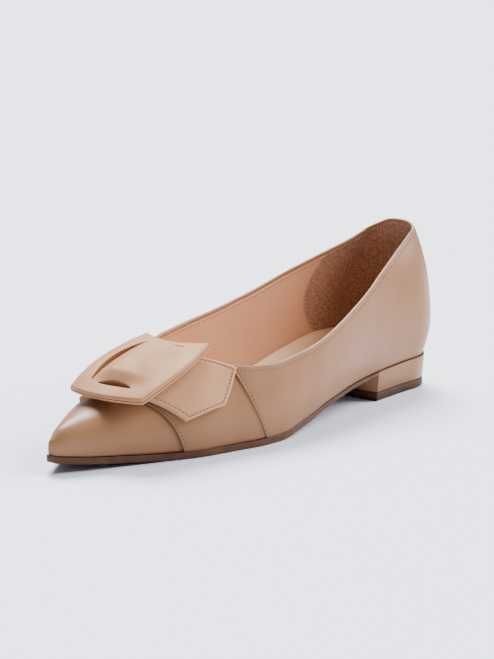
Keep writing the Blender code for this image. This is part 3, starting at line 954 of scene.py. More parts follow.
@dataclass
class Upper:
    """Outer leather: toe panel, cross band, quarters and the folded top edge, over the lining."""

    last: Last
    leather: bpy.types.Material
    lining: bpy.types.Material
    lap: float = 0.75 * MM
    band_end: float = 0.25
    fade_strips: float = 10.5
    edge_radius: float = 0.5 * MM
    edge_sunk: float = 0.05 * MM
    swell: float = 0.05 * MM
    swell_inset: float = 0.65 * MM
    channel: float = 0.10 * MM
    channel_width: float = 0.4 * MM
    stitch_inset: float = 1.35 * MM
    tuck_in: float = 1.5 * MM
    fold_depth: float = 1.8 * MM
    fold_steps: int = 12
    lining_gap: float = 0.15 * MM
    lining_thickness: float = 0.30 * MM
    grip_thickness: float = 0.12 * MM
    grip_border: float = 41.3
    grip_bow: float = 1.2
    rows: int = 66
    edge: Optional[dict[Side, np.ndarray]] = None

    def band_lift(self, number: np.ndarray) -> np.ndarray:
        """How far the band and the quarters stand out.

        Args:
            number: strip numbers.

        Returns:
            One distance for each strip number.
        """
        front, rear = Seam.FRONT.value, Seam.REAR.value
        band = self.lap * (1 - (1 - self.band_end) * (number - front) / (rear - front))
        quarters = self.lap * np.maximum(0, 1 - (number - rear) / self.fade_strips)
        return np.where(number < rear, band, quarters)

    def lapped(self, sheet: Sheet, under: float) -> tuple[np.ndarray, np.ndarray]:
        """Lift and painted shade of a panel that laps over the one ahead of it.

        Args:
            sheet: the panel's grid, which starts at its front edge.
            under: lift of the leather below its edge.

        Returns:
            One lift and one painted shade value for each point.
        """
        low = under - self.edge_sunk
        swell = self.swell * hill(sheet.behind - self.swell_inset, self.channel_width)
        dip = hill(sheet.behind - self.stitch_inset, self.channel_width)
        edge = rounded(sheet.behind + 0.01 * MM, self.edge_radius)
        lift = low + (self.band_lift(sheet.number) - low + swell - self.channel * dip) * edge
        # Painted shade under the lapped edge and in the stitch channel
        crevice = 0.8 * hill(sheet.behind, 0.3 * MM) + 0.16 * dip
        return lift, np.clip(crevice, 0, 1)

    def shade_ahead(self, sheet: Sheet, seam: Seam, strips: float) -> np.ndarray:
        """Painted shade: a darker line on a panel just ahead of the seam that laps over it."""
        near = np.clip((seam.value - sheet.number) / strips, 0, 1)
        return 0.55 * (1 - near) ** 1.5

    def panel(
        self, name: str, sheet: Sheet, lift: np.ndarray, crevice: np.ndarray
    ) -> bpy.types.Object:
        """Makes one panel, with its lower edge turned in over the sole.

        Args:
            name: name of the piece.
            sheet: its grid.
            lift: how far each point stands out.
            crevice: how dark each point is.

        Returns:
            The piece.
        """
        points = sheet.raised(lift + creased(self.last, sheet.points))
        count = len(points)
        feet = sheet.ids[:, :, 0]
        level = sheet.normals * (1, 1, 0)
        level /= np.maximum(np.linalg.norm(level, axis=1), TINY)[:, None]
        lips, faces = [], [sheet.quads]
        for k in range(2):
            start = count + k * feet.shape[1]
            fresh = np.arange(start, start + feet.shape[1])
            ring = np.stack([fresh[:-1], fresh[1:], feet[k, 1:], feet[k, :-1]], 1)
            faces.append(ring if k == 0 else ring[:, ::-1])
            lips.append(points[feet[k]] - level[feet[k]] * self.tuck_in)
        points = np.concatenate([points] + lips)
        # Painted shade along the foot of the panel, and full shade on the lips turned in under it
        foot_shade = 0.45 * hill(sheet.row, 0.02)
        dark = np.concatenate([np.clip(crevice + foot_shade, 0, 1), np.ones(2 * feet.shape[1])])
        for k, side in enumerate(Side):
            rows, shades, quads = self.fold(sheet, points, lift, side, len(points))
            points, dark = np.concatenate([points, rows]), np.concatenate([dark, shades])
            faces.append(quads if k == 0 else quads[:, ::-1])
        return add_piece(name, points, np.concatenate(faces), self.leather, {"crevice": dark})

    def fold(
        self, sheet: Sheet, points: np.ndarray, lift: np.ndarray, side: Side, start: int
    ) -> tuple[np.ndarray, np.ndarray, np.ndarray]:
        """The top edge of a panel, folded over the wall and down inside.

        Args:
            sheet: the panel's grid.
            points: its raised points.
            lift: how far each point of the grid stands out.
            side: side of the foot.
            start: number of the first new point.

        Returns:
            New points, their crevice values and the new faces.
        """
        open_columns = np.flatnonzero(sheet.numbers >= Seam.THROAT.value)
        if len(open_columns) < 2:
            return np.zeros((0, 3)), np.zeros(0), np.zeros((0, 4), int)
        top = sheet.ids[0 if side is Side.OUTER else 1, open_columns, -1]
        normal, away = self.edge_frame(sheet.numbers[open_columns], side)
        radius = ((lift[top] + self.last.wall) / 2)[:, None]
        rows, shades = [], []
        for angle in np.radians(np.linspace(15, 180, self.fold_steps)):
            out, up = radius * (math.cos(angle) - 1), 0.75 * radius * math.sin(angle)
            rows.append(points[top] + normal * out + away * up)
            shades.append(0.0)
        inside = rows[-1]
        # Painted shade that deepens as the fold turns down inside
        for down, tucked, shade in ((0.6, 0, 0.1), (1.0, 0, 0.35), (1.0, 0.25 * MM, 0.8)):
            rows.append(inside - away * self.fold_depth * down + normal * tucked)
            shades.append(shade)
        fresh = start + np.arange(len(rows) * len(top)).reshape(len(rows), -1)
        quads = grid_faces(np.vstack([top, fresh]).T)
        return np.concatenate(rows), np.repeat(shades, len(top)), quads

    def toe_panel(self) -> bpy.types.Object:
        """The pointed toe panel, which runs on a little under the band.

        Returns:
            The piece.
        """
        numbers = np.concatenate([[0, 0.12, 0.3, 0.55], np.linspace(0.8, 13, 80), [13.2, 13.45]])
        sheet = Sheet(self.last, numbers, np.linspace(0, 1, self.rows))
        crevice = self.shade_ahead(sheet, Seam.FRONT, 0.35)
        return self.panel("toe_panel", sheet, np.zeros(len(sheet.points)), crevice)

    def cross_band(self) -> bpy.types.Object:
        """The band over the vamp, lapped over the toe panel.

        Returns:
            The piece.
        """
        numbers = seam_columns(Seam.FRONT, Seam.REAR, 3.6 * MM, 6)
        numbers = np.concatenate([numbers, [29.06, 29.14]])
        numbers[np.argmin(np.abs(numbers - Seam.THROAT.value))] = Seam.THROAT.value
        sheet = Sheet(self.last, numbers, np.linspace(0, 1, self.rows))
        lift, crevice = self.lapped(sheet, 0.0)
        lift = np.where(sheet.number > Seam.REAR.value, self.lap * self.band_end, lift)
        crevice = np.maximum(crevice, self.shade_ahead(sheet, Seam.REAR, 0.25))
        return self.panel("cross_band", sheet, lift, crevice)

    def quarters(self) -> bpy.types.Object:
        """Both quarters in one piece, lapped over the band.

        Returns:
            The piece.
        """
        numbers = seam_columns(Seam.REAR, Seam.BACK, 8.5 * MM, 5)
        sheet = Sheet(self.last, numbers, np.linspace(0, 1, self.rows))
        lift, crevice = self.lapped(sheet, self.lap * self.band_end)
        return self.panel("quarters", sheet, lift, crevice)

    def edge_path(self) -> tuple[np.ndarray, np.ndarray, np.ndarray, np.ndarray]:
        """The top edge from the back along the outer side to the throat and back on the inner side.

        Returns:
            Strip numbers, points, outward normals and directions off the leather.
        """
        eased = Seam.HINGE.value - EASE_STRIPS
        rear = np.linspace(Seam.BACK.value, eased, 90)
        numbers = np.concatenate([rear, np.linspace(eased - 0.15, Seam.THROAT.value, 171)])
        points, normals = [], []
        for side, run in ((Side.OUTER, numbers), (Side.INNER, numbers[::-1][1:])):
            here, at, share = lie(self.last, run, np.array([0.94, 1.0]), side)
            points.append(here[:, 1])
            at, share = at[:, 1], share[:, 1]
            ahead = self.last.point(at + 0.002, share, side)
            ahead -= self.last.point(at - 0.002, share, side)
            up = self.last.point(at, share, side) - self.last.point(at, share - 0.02, side)
            flat = unit(np.cross(ahead, up) * side.value)
            tangent = np.gradient(here[:, 1], axis=0)
            steep = unit(np.cross(here[:, 1] - here[:, 0], tangent))
            mix = soft_step((run - eased + 2) / 2)[:, None]
            normals.append(flat * (1 - mix) + steep * mix)
        points, normals = np.concatenate(points), np.concatenate(normals)
        normals[0] = normals[-1] = (normals[1] + normals[-2]) * (0, 1, 1) / 2
        for _ in range(6):
            normals[1:-1] += 0.5 * ((normals[:-2] + normals[2:]) / 2 - normals[1:-1])
        normals = unit(normals)
        tangent = np.gradient(points, axis=0)
        tangent[0] = tangent[-1] = (1, 0, 0)
        away = unit(np.cross(tangent, normals))
        return np.concatenate([numbers, numbers[::-1][1:]]), points, normals, away

    def edge_frame(self, numbers: np.ndarray, side: Side) -> tuple[np.ndarray, np.ndarray]:
        """Outward normals and directions off the leather at places of the top edge.

        Args:
            numbers: strip numbers of the places.
            side: side of the foot.

        Returns:
            Normals and directions.
        """
        if self.edge is None:
            along, _, normals, away = self.edge_path()
            half = len(along) // 2
            both = np.hstack([along[:, None], normals, away])
            self.edge = {Side.OUTER: both[half::-1], Side.INNER: both[half:]}
        table = self.edge[side]
        columns = [np.interp(numbers, table[:, 0], table[:, k]) for k in range(1, 7)]
        read = np.column_stack(columns)
        return read[:, :3], read[:, 3:]

    def lining_skin(self) -> bpy.types.Object:
        """Lining of the whole inside, with the napped grip around the heel a little proud of it.

        Returns:
            The piece.
        """
        throat = Seam.THROAT.value
        runs = ((2.5, 39.9, 180), (40, 43.9, 60), (44, 54, 60))
        numbers = np.concatenate([np.linspace(*run) for run in runs])
        numbers[np.argmin(np.abs(numbers - throat))] = throat
        rows = np.concatenate([np.linspace(0.02, 0.97, 58), [0.98, 0.988, 0.994, 1.0]])
        sheet = Sheet(self.last, numbers, rows, drop=0.9 * MM)
        border = self.grip_border + self.grip_bow * ((sheet.row - 0.55) / 0.45) ** 2
        grip = soft_step((sheet.number - border) / 0.14)
        thinned = rounded((1 - sheet.row) * 45 * MM + 0.02 * MM, 0.7 * MM)
        fold = np.where(sheet.number > throat, thinned, 1.0)
        inwards = self.lining_thickness + self.grip_thickness * grip
        lift = -self.last.wall + self.lining_gap - inwards * fold
        lift += 0.8 * creased(self.last, sheet.points)
        # Painted shade along the grip's border and at the foot of the lining
        line = hill(sheet.number - border, 0.08)
        dark = np.clip(0.25 * line + 0.5 * hill(sheet.row, 0.03), 0, 1)
        marks = {"crevice": dark, "grip": grip}
        return add_piece("lining", sheet.raised(lift), sheet.quads[:, ::-1], self.lining, marks)

    def seam_run(self, seam: Seam, inset: float) -> list[tuple[np.ndarray, np.ndarray]]:
        """Lines that follow a seam from the foot up, one on each side.

        Args:
            seam: the seam.
            inset: distance behind its edge.

        Returns:
            Points of each side's line on the last, and the normals there.
        """
        line = strip_line(seam.value)
        rows = np.linspace(0.03, 1.0 if seam is Seam.FRONT else 0.955, 120)
        halves = []
        for side in Side:
            at = bowed(line, side, rows) + inset / self.last.reach
            share = self.last.top_share(line[2], side) * rows
            here = self.last.point(at, share, side)
            ahead = self.last.point(at + 0.002, share, side) - here
            up = self.last.point(at, np.minimum(share + 0.01, 1), side)
            up -= self.last.point(at, share - 0.01, side)
            halves.append((here, unit(np.cross(ahead, up) * side.value)))
        return halves

    def collar_run(self, down: float, inside: bool) -> np.ndarray:
        """A line below the top edge, all the way round.

        Args:
            down: distance below the edge.
            inside: on the lining instead of the outer leather.

        Returns:
            Points of the line.
        """
        _, points, normals, away = self.edge_path()
        out = -self.last.wall - 0.4 * MM if inside else 0.6 * MM
        return points - away * down + normals * out


@dataclass(frozen=True)
class StitchPattern:
    """A row of stitches: pitch, length and radius of the thread, and radius of the holes."""

    pitch: float = 1.9 * MM
    length: float = 1.25 * MM
    thread: float = 0.20 * MM
    hole: float = 0.36 * MM
    sunk: float = 0.14 * MM


class Stitcher:
    """Lays rows of stitches along lines with one Geometry Nodes tree."""

    # Trim Curve's inputs for lengths, which come after the two for shares
    trim_start, trim_end = 4, 5

    def __init__(
        self, pattern: StitchPattern, thread: bpy.types.Material, hole: bpy.types.Material
    ) -> None:
        """Builds the tree.

        Args:
            pattern: sizes of the stitches.
            thread: material of the thread.
            hole: material of the needle holes, dark as painted shade in them.
        """
        self.pattern = pattern
        self.values = {
            "Pitch": pattern.pitch,
            "Length": pattern.length,
            "Thread Radius": pattern.thread,
            "Hole Radius": pattern.hole,
            "Thread": thread,
            "Hole": hole,
        }
        takes = {"Geometry": ("NodeSocketGeometry", None)}
        for name, value in self.values.items():
            kind = "NodeSocketFloat" if isinstance(value, float) else "NodeSocketMaterial"
            takes[name] = (kind, None)
        gives = {"Geometry": "NodeSocketGeometry"}
        nodes, node = new_group("stitch_row", takes, gives, "GeometryNodeTree")
        self.tree = nodes.tree
        path = nodes.add("GeometryNodeMeshToCurve", {"Mesh": node.outputs["Geometry"]}).outputs[0]
        both = nodes.add("GeometryNodeJoinGeometry")
        for thread_row in (True, False):
            nodes.feed(both, {0: self._row(nodes, path, node, thread_row)})
        nodes.add("NodeGroupOutput", {"Geometry": both.outputs[0]})

    def _row(
        self, nodes: Nodes, path: bpy.types.NodeSocket, node: bpy.types.Node, thread: bool
    ) -> bpy.types.NodeSocket:
        """Nodes that lay either the threads or the holes between them.

        Args:
            nodes: the tree's node maker.
            path: the line as a curve.
            node: the tree's input node.
            thread: threads if true, holes if false.

        Returns:
            The finished geometry.
        """
        given = node.outputs
        if thread:
            half = nodes.math("MULTIPLY", given["Length"], 0.5)
            radii = {0: half, 1: given["Thread Radius"], 2: given["Thread Radius"]}
        else:
            cut = {
                "Curve": path,
                self.trim_start: nodes.math("MULTIPLY", given["Pitch"], 0.5),
                self.trim_end: 10.0,
            }
            path = nodes.add("GeometryNodeTrimCurve", cut, mode="LENGTH").outputs[0]
            radii = {k: given["Hole Radius"] for k in range(3)}
        pitch = {"Curve": path, "Length": given["Pitch"]}
        spread = nodes.add("GeometryNodeResampleCurve", pitch, mode="LENGTH")
        bead = nodes.add("GeometryNodeMeshUVSphere", {"Segments": 8, "Rings": 6, "Radius": 1.0})
        tangent = {"Vector": nodes.add("GeometryNodeInputTangent").outputs[0]}
        turn = nodes.add("FunctionNodeAlignRotationToVector", tangent, axis="X")
        laid = nodes.add("GeometryNodeInstanceOnPoints", {
            "Points": spread.outputs[0],
            "Instance": bead.outputs[0],
            "Rotation": turn.outputs[0],
            "Scale": nodes.add("ShaderNodeCombineXYZ", radii).outputs[0],
        })
        real = nodes.add("GeometryNodeRealizeInstances", {0: laid.outputs[0]})
        finish = {"Geometry": real.outputs[0], "Material": given["Thread" if thread else "Hole"]}
        return nodes.add("GeometryNodeSetMaterial", finish).outputs[0]

    def row(
        self, name: str, points: np.ndarray, carriers: list[bpy.types.Object]
    ) -> bpy.types.Object:
        """Lays one row of stitches.

        Args:
            name: name of the piece.
            points: line near the leather that the row follows.
            carriers: pieces of leather that it is sewn on.

        Returns:
            The piece.
        """
        points = laid_on(points, carriers, self.pattern.sunk)
        mesh = bpy.data.meshes.new(name + "_path")
        edges = [(k, k + 1) for k in range(len(points) - 1)]
        mesh.from_pydata([tuple(point) for point in points], edges, [])
        thing = linked(bpy.data.objects.new(name, mesh))
        change = thing.modifiers.new("stitches", "NODES")
        change.node_group = self.tree
        for item in self.tree.interface.items_tree:
            if item.in_out == "INPUT" and item.name in self.values:
                change[item.identifier] = self.values[item.name]
        settle(thing)
        thing.data.shade_smooth()
        return thing


def laid_on(points: np.ndarray, carriers: list[bpy.types.Object], sunk: float) -> np.ndarray:
    """Moves a line onto the nearest leather.

    Args:
        points: the line.
        carriers: pieces of leather.
        sunk: how deep the line lies in the surface.

    Returns:
        The moved line.
    """
    trees = [surface_of(carrier) for carrier in carriers]
    moved = []
    for point in points:
        hits = [tree.find_nearest(Vector(point)) for tree in trees]
        spot, normal, _, _ = min(hits, key=lambda hit: hit[3])
        moved.append(spot - normal * sunk)
    return np.array(moved)


def settle(thing: bpy.types.Object) -> None:
    """Turns an object's modifiers into a plain mesh.

    Args:
        thing: the object, which keeps its name and place.
    """
    view = bpy.context.evaluated_depsgraph_get()
    view.update()
    mesh = bpy.data.meshes.new_from_object(thing.evaluated_get(view))
    thing.modifiers.clear()
    thing.data = mesh


@dataclass(frozen=True)
class Ring:
    """One line around a sole or heel piece.

    It lies outside the feather edge by grow, and at a height over the ground plus a rise; its last
    value is painted shade along it.
    """

    grow: float
    height: Height
    rise: float = 0.0
    crevice: float = 0.0


def ground(at: np.ndarray) -> np.ndarray:
    """Height of the ground."""
    return np.zeros(len(at))


def slab(
    name: str, last: Last, stations: np.ndarray, rings: list[Ring], material: bpy.types.Material
) -> bpy.types.Object:
    """A closed body that follows the outline of the sole, from its top rings to its lowest.

    Args:
        name: name of the piece.
        last: the last it follows.
        stations: shares of the length.
        rings: lines around it, from the top down.
        material: its material.

    Returns:
        The piece.
    """
    lines = {side: [] for side in Side}
    for ring in rings:
        for side, xy in last.outline(ring.grow, stations).items():
            height = ring.height(last.along(xy[:, 1])) + ring.rise
            lines[side].append(np.column_stack([xy, height]))
    return closed_loops(name, lines, [ring.crevice for ring in rings], material)


def closed_loops(
    name: str,
    lines: dict[Side, list[np.ndarray]],
    shades: list[float],
    material: bpy.types.Material,
) -> bpy.types.Object:
    """A closed body from lines that run from end to end and follow each other around it.

    Args:
        name: name of the piece.
        lines: points of the lines on both sides, from the top down.
        shades: painted shade of each line.
        material: its material.

    Returns:
        The piece.
    """
    grid = np.array(lines[Side.OUTER] + lines[Side.INNER][::-1])
    height, width = grid.shape[:2]
    ids = np.arange(height * width).reshape(height, width)
    faces = [list(quad) for quad in grid_faces(np.vstack([ids, ids[:1]]).T)]
    for end, cap in ((0, ids[:, 0]), (-1, ids[::-1, -1])):
        if np.ptp(grid[:, end, 0]) > 0.01 * MM:
            faces.append(list(cap))
    marks = {"crevice": np.repeat(np.array(shades + shades[::-1]), width)}
    return add_piece(name, grid.reshape(-1, 3), faces, material, marks, closed=True)


@dataclass
class Bottom:
    """Everything under the foot: sole, heel, top piece, sock and the line at the feather edge."""

    last: Last
    sole_leather: bpy.types.Material
    leather: bpy.types.Material
    rubber: bpy.types.Material
    sock_leather: bpy.types.Material
    shadow: bpy.types.Material
    heel_length: float = 61 * MM
    heel_proud: float = 0.9 * MM
    heel_taper: float = 0.9 * MM
    top_piece: float = 4.2 * MM
    insole: float = 2.4 * MM

    @property
    def breast(self) -> float:
        """Share of the length where the heel starts."""
        return 1 - self.heel_length / self.last.reach

    def stations(self, start: float, end: float, count: int) -> np.ndarray:
        """Shares of the length, closer together towards the round tip or the round back.

        Args:
            start: first share, 0 for the tip.
            end: last share.
            count: number of shares.

        Returns:
            The shares.
        """
        turn = np.linspace(0, math.pi / 2, count)
        if start == 0:
            return end * (1 - np.cos(turn)) ** 1.15
        return start + (end - start) * np.sin(turn)

    def over(self, at: np.ndarray) -> np.ndarray:
        """Height of the upper sides of sole and heel."""
        return self.last.feather(at) - self.last.gap

    def under_sole(self, at: np.ndarray) -> np.ndarray:
        """Height of the sole's underside, which thins out under the arch.

        Args:
            at: shares of the length.

        Returns:
            One height for each share.
        """
        places = np.sqrt([0, 0.1, 0.42, 0.6, 0.8, 1])
        shares = curve(places, np.array([0.96, 1, 1, 0.72, 0.55, 0.55]), np.sqrt(at))
        return self.over(at) - self.last.sole_thickness * shares

    def outsole(self) -> bpy.types.Object:
        """Leather sole with softened edges.

        Returns:
            The piece.
        """
        proud = self.last.sole_proud
        # Last column: painted shade under the upper and towards the underside
        rings = [
            Ring(proud - 0.9 * MM, self.over, 0.0, 0.9),
            Ring(proud - 0.35 * MM, self.over, 0.0, 0.8),
            Ring(proud - 0.1 * MM, self.over, -0.1 * MM, 0.5),
            Ring(proud, self.over, -0.4 * MM, 0.1),
            Ring(proud, self.under_sole, 0.5 * MM, 0.0),
            Ring(proud - 0.15 * MM, self.under_sole, 0.15 * MM, 0.15),
            Ring(proud - 0.5 * MM, self.under_sole, 0.0, 0.35),
            Ring(proud - 4 * MM, self.under_sole, 0.0, 0.0),
        ]
        stations = self.stations(0, self.breast - self.last.gap / self.last.reach, 150)
        return slab("outsole_leather", self.last, stations, rings, self.sole_leather)

    def heel(self) -> bpy.types.Object:
        """Covered heel block.

        Returns:
            The piece.
        """
        proud, taper = self.heel_proud, self.heel_taper
        foot = self.top_piece + self.last.gap
        # Last column: painted shade under the sole and above the top piece
        rings = [
            Ring(proud - 1.2 * MM, self.over, 0.0, 1.0),
            Ring(proud - 0.35 * MM, self.over, 0.0, 0.7),
            Ring(proud - 0.08 * MM, self.over, -0.15 * MM, 0.25),
            Ring(proud, self.over, -0.5 * MM, 0.0),
            Ring(proud - 0.5 * taper, lambda at: (self.over(at) + foot) / 2),
            Ring(proud - taper, ground, foot + 0.3 * MM, 0.15),
            Ring(proud - taper - 0.25 * MM, ground, foot, 0.6),
        ]
        return slab("heel_cover", self.last, self.stations(self.breast, 1, 90), rings, self.leather)

    def heel_tip(self) -> bpy.types.Object:
        """Rubber top piece under the heel.

        Returns:
            The piece.
        """
        grow = self.heel_proud - self.heel_taper
        # Last column: painted shade under the heel and at the ground
        rings = [
            Ring(grow - 0.3 * MM, ground, self.top_piece, 0.5),
            Ring(grow, ground, self.top_piece - 0.25 * MM, 0.0),
            Ring(grow, ground, 0.3 * MM, 0.0),
            Ring(grow - 0.3 * MM, ground, 0.0, 0.3),
        ]
        stations = self.stations(self.breast, 1, 90)
        return slab("top_piece_rubber", self.last, stations, rings, self.rubber)

    def sock_rise(self, at: np.ndarray) -> np.ndarray:
        """How far the sock's edge is turned up against the lining."""
        places = np.array([0.0, 0.62, 0.72, 0.83, 0.93, 1.0])
        return curve(places, np.array([0.5, 0.9, 5.0, 8.6, 7.0, 5.0]) * MM, at)

    def sock_wall(
        self, stations: np.ndarray, side: Side, height: np.ndarray, inward: float
    ) -> np.ndarray:
        """Points against the lining at given heights.

        Args:
            stations: shares of the length.
            side: side of the foot.
            height: height over the ground at each station.
            inward: distance inside the last's surface.

        Returns:
            One point for each station.
        """
        shares = np.linspace(0, 0.6, 61)
        beside, above = 0.003, 0.01
        spots = []
        for at, level in zip(stations, height):
            column = self.last.point(np.full(len(shares), at), shares, side)
            share = np.interp(level, column[:, 2], shares)
            here = self.last.point(np.array([at, at]), np.array([share, share + above]), side)
            ends = np.array([max(at - beside, 0), min(at + beside, 1)])
            near = self.last.point(ends, np.array([share, share]), side)
            normal = unit(np.cross(near[1] - near[0], here[1] - here[0]) * side.value)
            spots.append(here[0] - normal * inward)
        return np.array(spots)

    def sock(self) -> bpy.types.Object:
        """Board and sock, with its edge turned up against the lining around the heel.

        Returns:
            The piece.
        """
        ahead = np.linspace(math.sqrt(0.10), math.sqrt(0.5), 60) ** 2
        stations = np.concatenate([ahead, self.stations(0.5, 1, 90)[1:]])
        over = self.last.feather(stations) + self.insole
        rise = self.sock_rise(stations)
        grow = -self.last.wall - self.last.gap
        lines: dict[Side, list[np.ndarray]] = {side: [] for side in Side}
        shades = []
        # The face: distance inside the edge in mm, height in mm, share of the rise, painted shade
        for inset, extra, lifted, shade in (
            (14.0, 0.35, 0.0, 0.0),
            (8.0, 0.30, 0.0, 0.0),
            (5.0, 0.22, 0.0, 0.04),
            (3.2, 0.1, 0.03, 0.08),
            (1.6, 0.0, 0.12, 0.14),
        ):
            for side, line in self.last.outline(grow - inset * MM, stations).items():
                lines[side].append(np.column_stack([line, over + extra * MM + rise * lifted]))
            shades.append(shade)
        # The turned-up edge: share of the rise, distance inside the last in mm, painted shade
        for share, inward, shade in (
            (0.35, 2.45, 0.1),
            (0.7, 2.35, 0.06),
            (0.93, 2.32, 0.35),
            (1.0, 2.15, 1.0),
            (0.97, 1.75, 1.0),
        ):
            for side in Side:
                wall = self.sock_wall(stations, side, over + rise * share, inward * MM)
                lines[side].append(wall)
            shades.append(shade)
        # Hidden lines under the edge, in full painted shade
        for drop in (0.6 * MM, self.insole - 0.1 * MM):
            for side, line in self.last.outline(grow, stations).items():
                lines[side].append(np.column_stack([line, over - drop]))
            shades.append(1.0)
        return closed_loops("sock", lines, shades, self.sock_leather)

    def feather_line(self) -> bpy.types.Object:
        """Dark line between the upper and what lies under it, a sheet of painted shadow in the gap.

        Returns:
            The piece.
        """
        rings = [
            Ring(-0.45 * MM, self.last.feather, 0.1 * MM),
            Ring(-0.45 * MM, self.over, -0.1 * MM),
        ]
        stations = np.concatenate([self.stations(0, 0.5, 80), self.stations(0.5, 1, 90)[1:]])
        return slab("feather_line", self.last, stations, rings, self.shadow)


def two_faced(width: int, height: int, turned: bool) -> list[list[int]]:
    """Faces of a plate whose two sides are grids, one after the other, joined along their rims.

    Args:
        width: points across a side.
        height: points along it.
        turned: turns the faces of the second side round.

    Returns:
        The faces.
    """
    ids = np.arange(2 * width * height).reshape(2, width, height)
    under = grid_faces(ids[1])
    faces = [*grid_faces(ids[0]).tolist(), *(under[:, ::-1] if turned else under).tolist()]
    top = ids[0]
    rim = np.concatenate([top[:, 0], top[-1, 1:], top[-2::-1, -1], top[0, -2:0:-1]])
    after = np.roll(rim, -1)
    walls = np.stack([rim, after, after + width * height, rim + width * height], 1)
    return faces + walls.tolist()


@dataclass
class Strap:
    """Folded strap under the buckle, pointed at its outer end."""

    last: Last
    leather: bpy.types.Material
    thickness: float = 2.0 * MM
    width: float = 34 * MM
    slant: float = 0.59
    reach: float = 42 * MM
    tuck: float = 10 * MM
    standoff: float = 0.7 * MM
    base: float = 1.2 * MM
    at: float = 0.203
    point_at: float = 0.47
    front_reach: float = 0.84
    rear_reach: float = 0.82
    side_lean: float = 0.86
    end_lean: float = 0.95
    edge_radius: float = 1.1 * MM
    edge_share: float = 0.30
    stitch_inset: float = 1.7 * MM
    channel: float = 0.16 * MM
    channel_width: float = 0.5 * MM
    swell: float = 0.12 * MM

    def reach_at(self, across: np.ndarray) -> np.ndarray:
        """Distance of the strap's outer end from the ridge, at shares of its width."""
        shares = (self.front_reach, 1.0, self.rear_reach)
        return self.reach * np.interp(across, (0, self.point_at, 1), shares)

    def plan(self, across: np.ndarray, share: np.ndarray) -> tuple[np.ndarray, np.ndarray]:
        """Place on the last of points of the strap.

        Args:
            across: share of the width, front to rear.
            share: share of the reach, from the hidden end to the point.

        Returns:
            Share of the length, and distance over the ridge.
        """
        girth = -self.tuck + (self.reach_at(across) + self.tuck) * share
        along = (across - 0.5) * self.width + self.slant * girth
        return self.at + along / self.last.reach, girth

    def edge_distance(self, across: np.ndarray, share: np.ndarray) -> np.ndarray:
        """Distance of points of the strap from its nearest free edge.

        Args:
            across: share of the width, front to rear.
            share: share of the reach, from the hidden end to the point.

        Returns:
            One distance for each point.
        """
        side = np.minimum(across, 1 - across) * self.width * self.side_lean
        end = (1 - share) * (self.reach_at(across) + self.tuck) * self.end_lean
        return np.minimum(side, end)

    def lie(self, across: np.ndarray, share: np.ndarray, height: np.ndarray) -> np.ndarray:
        """Points at a height over the strap's underside.

        Args:
            across: share of the width, front to rear.
            share: share of the reach, from the hidden end to the point.
            height: height over the underside.

        Returns:
            The points.
        """
        at, girth = self.plan(across, share)
        lift = self.base + self.standoff * np.maximum(0, 2 * share - 1) ** 2 + height
        normal = self.last.vamp_normal(at, girth)
        return self.last.over_vamp(at, girth) + normal * lift[..., None]

    def body(self) -> bpy.types.Object:
        """The strap, with rounded edges and a stitched channel.

        Returns:
            The piece.
        """
        near = np.array([0, 0.002, 0.006, 0.012, 0.02, 0.03, 0.042, 0.055, 0.07, 0.085])
        across = np.concatenate([near, np.linspace(0.1, 0.9, 41), 1 - near[::-1]])
        across = np.sort(np.append(across, self.point_at))
        share = np.concatenate([np.linspace(0, 0.9, 60), 1 - near[::-1]])
        u, v = np.meshgrid(across, share, indexing="ij")
        away = self.edge_distance(u, v)
        dip = hill(away - self.stitch_inset, self.channel_width)
        edge = self.edge_share + (1 - self.edge_share) * rounded(away, self.edge_radius)
        top = self.thickness * edge - self.channel * dip
        top += self.swell * hill(away - 0.9 * MM, 0.4 * MM)
        bottom = np.where(away < 0.05 * MM, 0.12 * MM, 0.0)
        grid = np.array([self.lie(u, v, top), self.lie(u, v, bottom)])
        # Painted shade in the stitch channel, at the rounded edges and on the underside
        dark = np.clip(0.22 * dip + 0.15 * hill(away, 0.3 * MM), 0, 1).ravel()
        marks = {"crevice": np.concatenate([dark, np.full(len(dark), 0.5)])}
        faces = two_faced(*u.shape, turned=True)
        points = grid.reshape(-1, 3)
        return add_piece("strap_leather", points, faces, self.leather, marks, closed=True)

    def stitch_line(self) -> np.ndarray:
        """Line of stitches inside the strap's free edges.

        Returns:
            Points of the line on the strap's face.
        """
        side = self.stitch_inset / (self.width * self.side_lean)
        end = 1 - self.stitch_inset / ((self.reach + self.tuck) * self.end_lean)
        front = np.column_stack([np.full(60, side), np.linspace(0.3, end, 60)])
        tip = np.column_stack([np.linspace(side, 1 - side, 80), np.full(80, end)])
        rear = np.column_stack([np.full(60, 1 - side), np.linspace(end, 0.3, 60)])
        path = np.concatenate([front, tip[1:], rear[1:]])
        height = np.full(len(path), self.thickness - 0.10 * MM)
        return self.lie(path[:, 0], path[:, 1], height)


@dataclass(frozen=True)
class Slot:
    """A crescent slot of the buckle, in shares of the buckle's half sizes apart from its width."""

    lengthwise: bool
    place: float
    start: float
    end: float
    width: float


SLOTS = (
    Slot(True, -0.51, -0.72, 0.84, 3.9 * MM),
    Slot(False, -0.71, -0.30, 0.55, 3.0 * MM),
    Slot(False, 0.80, -0.10, 0.64, 1.5 * MM),
)


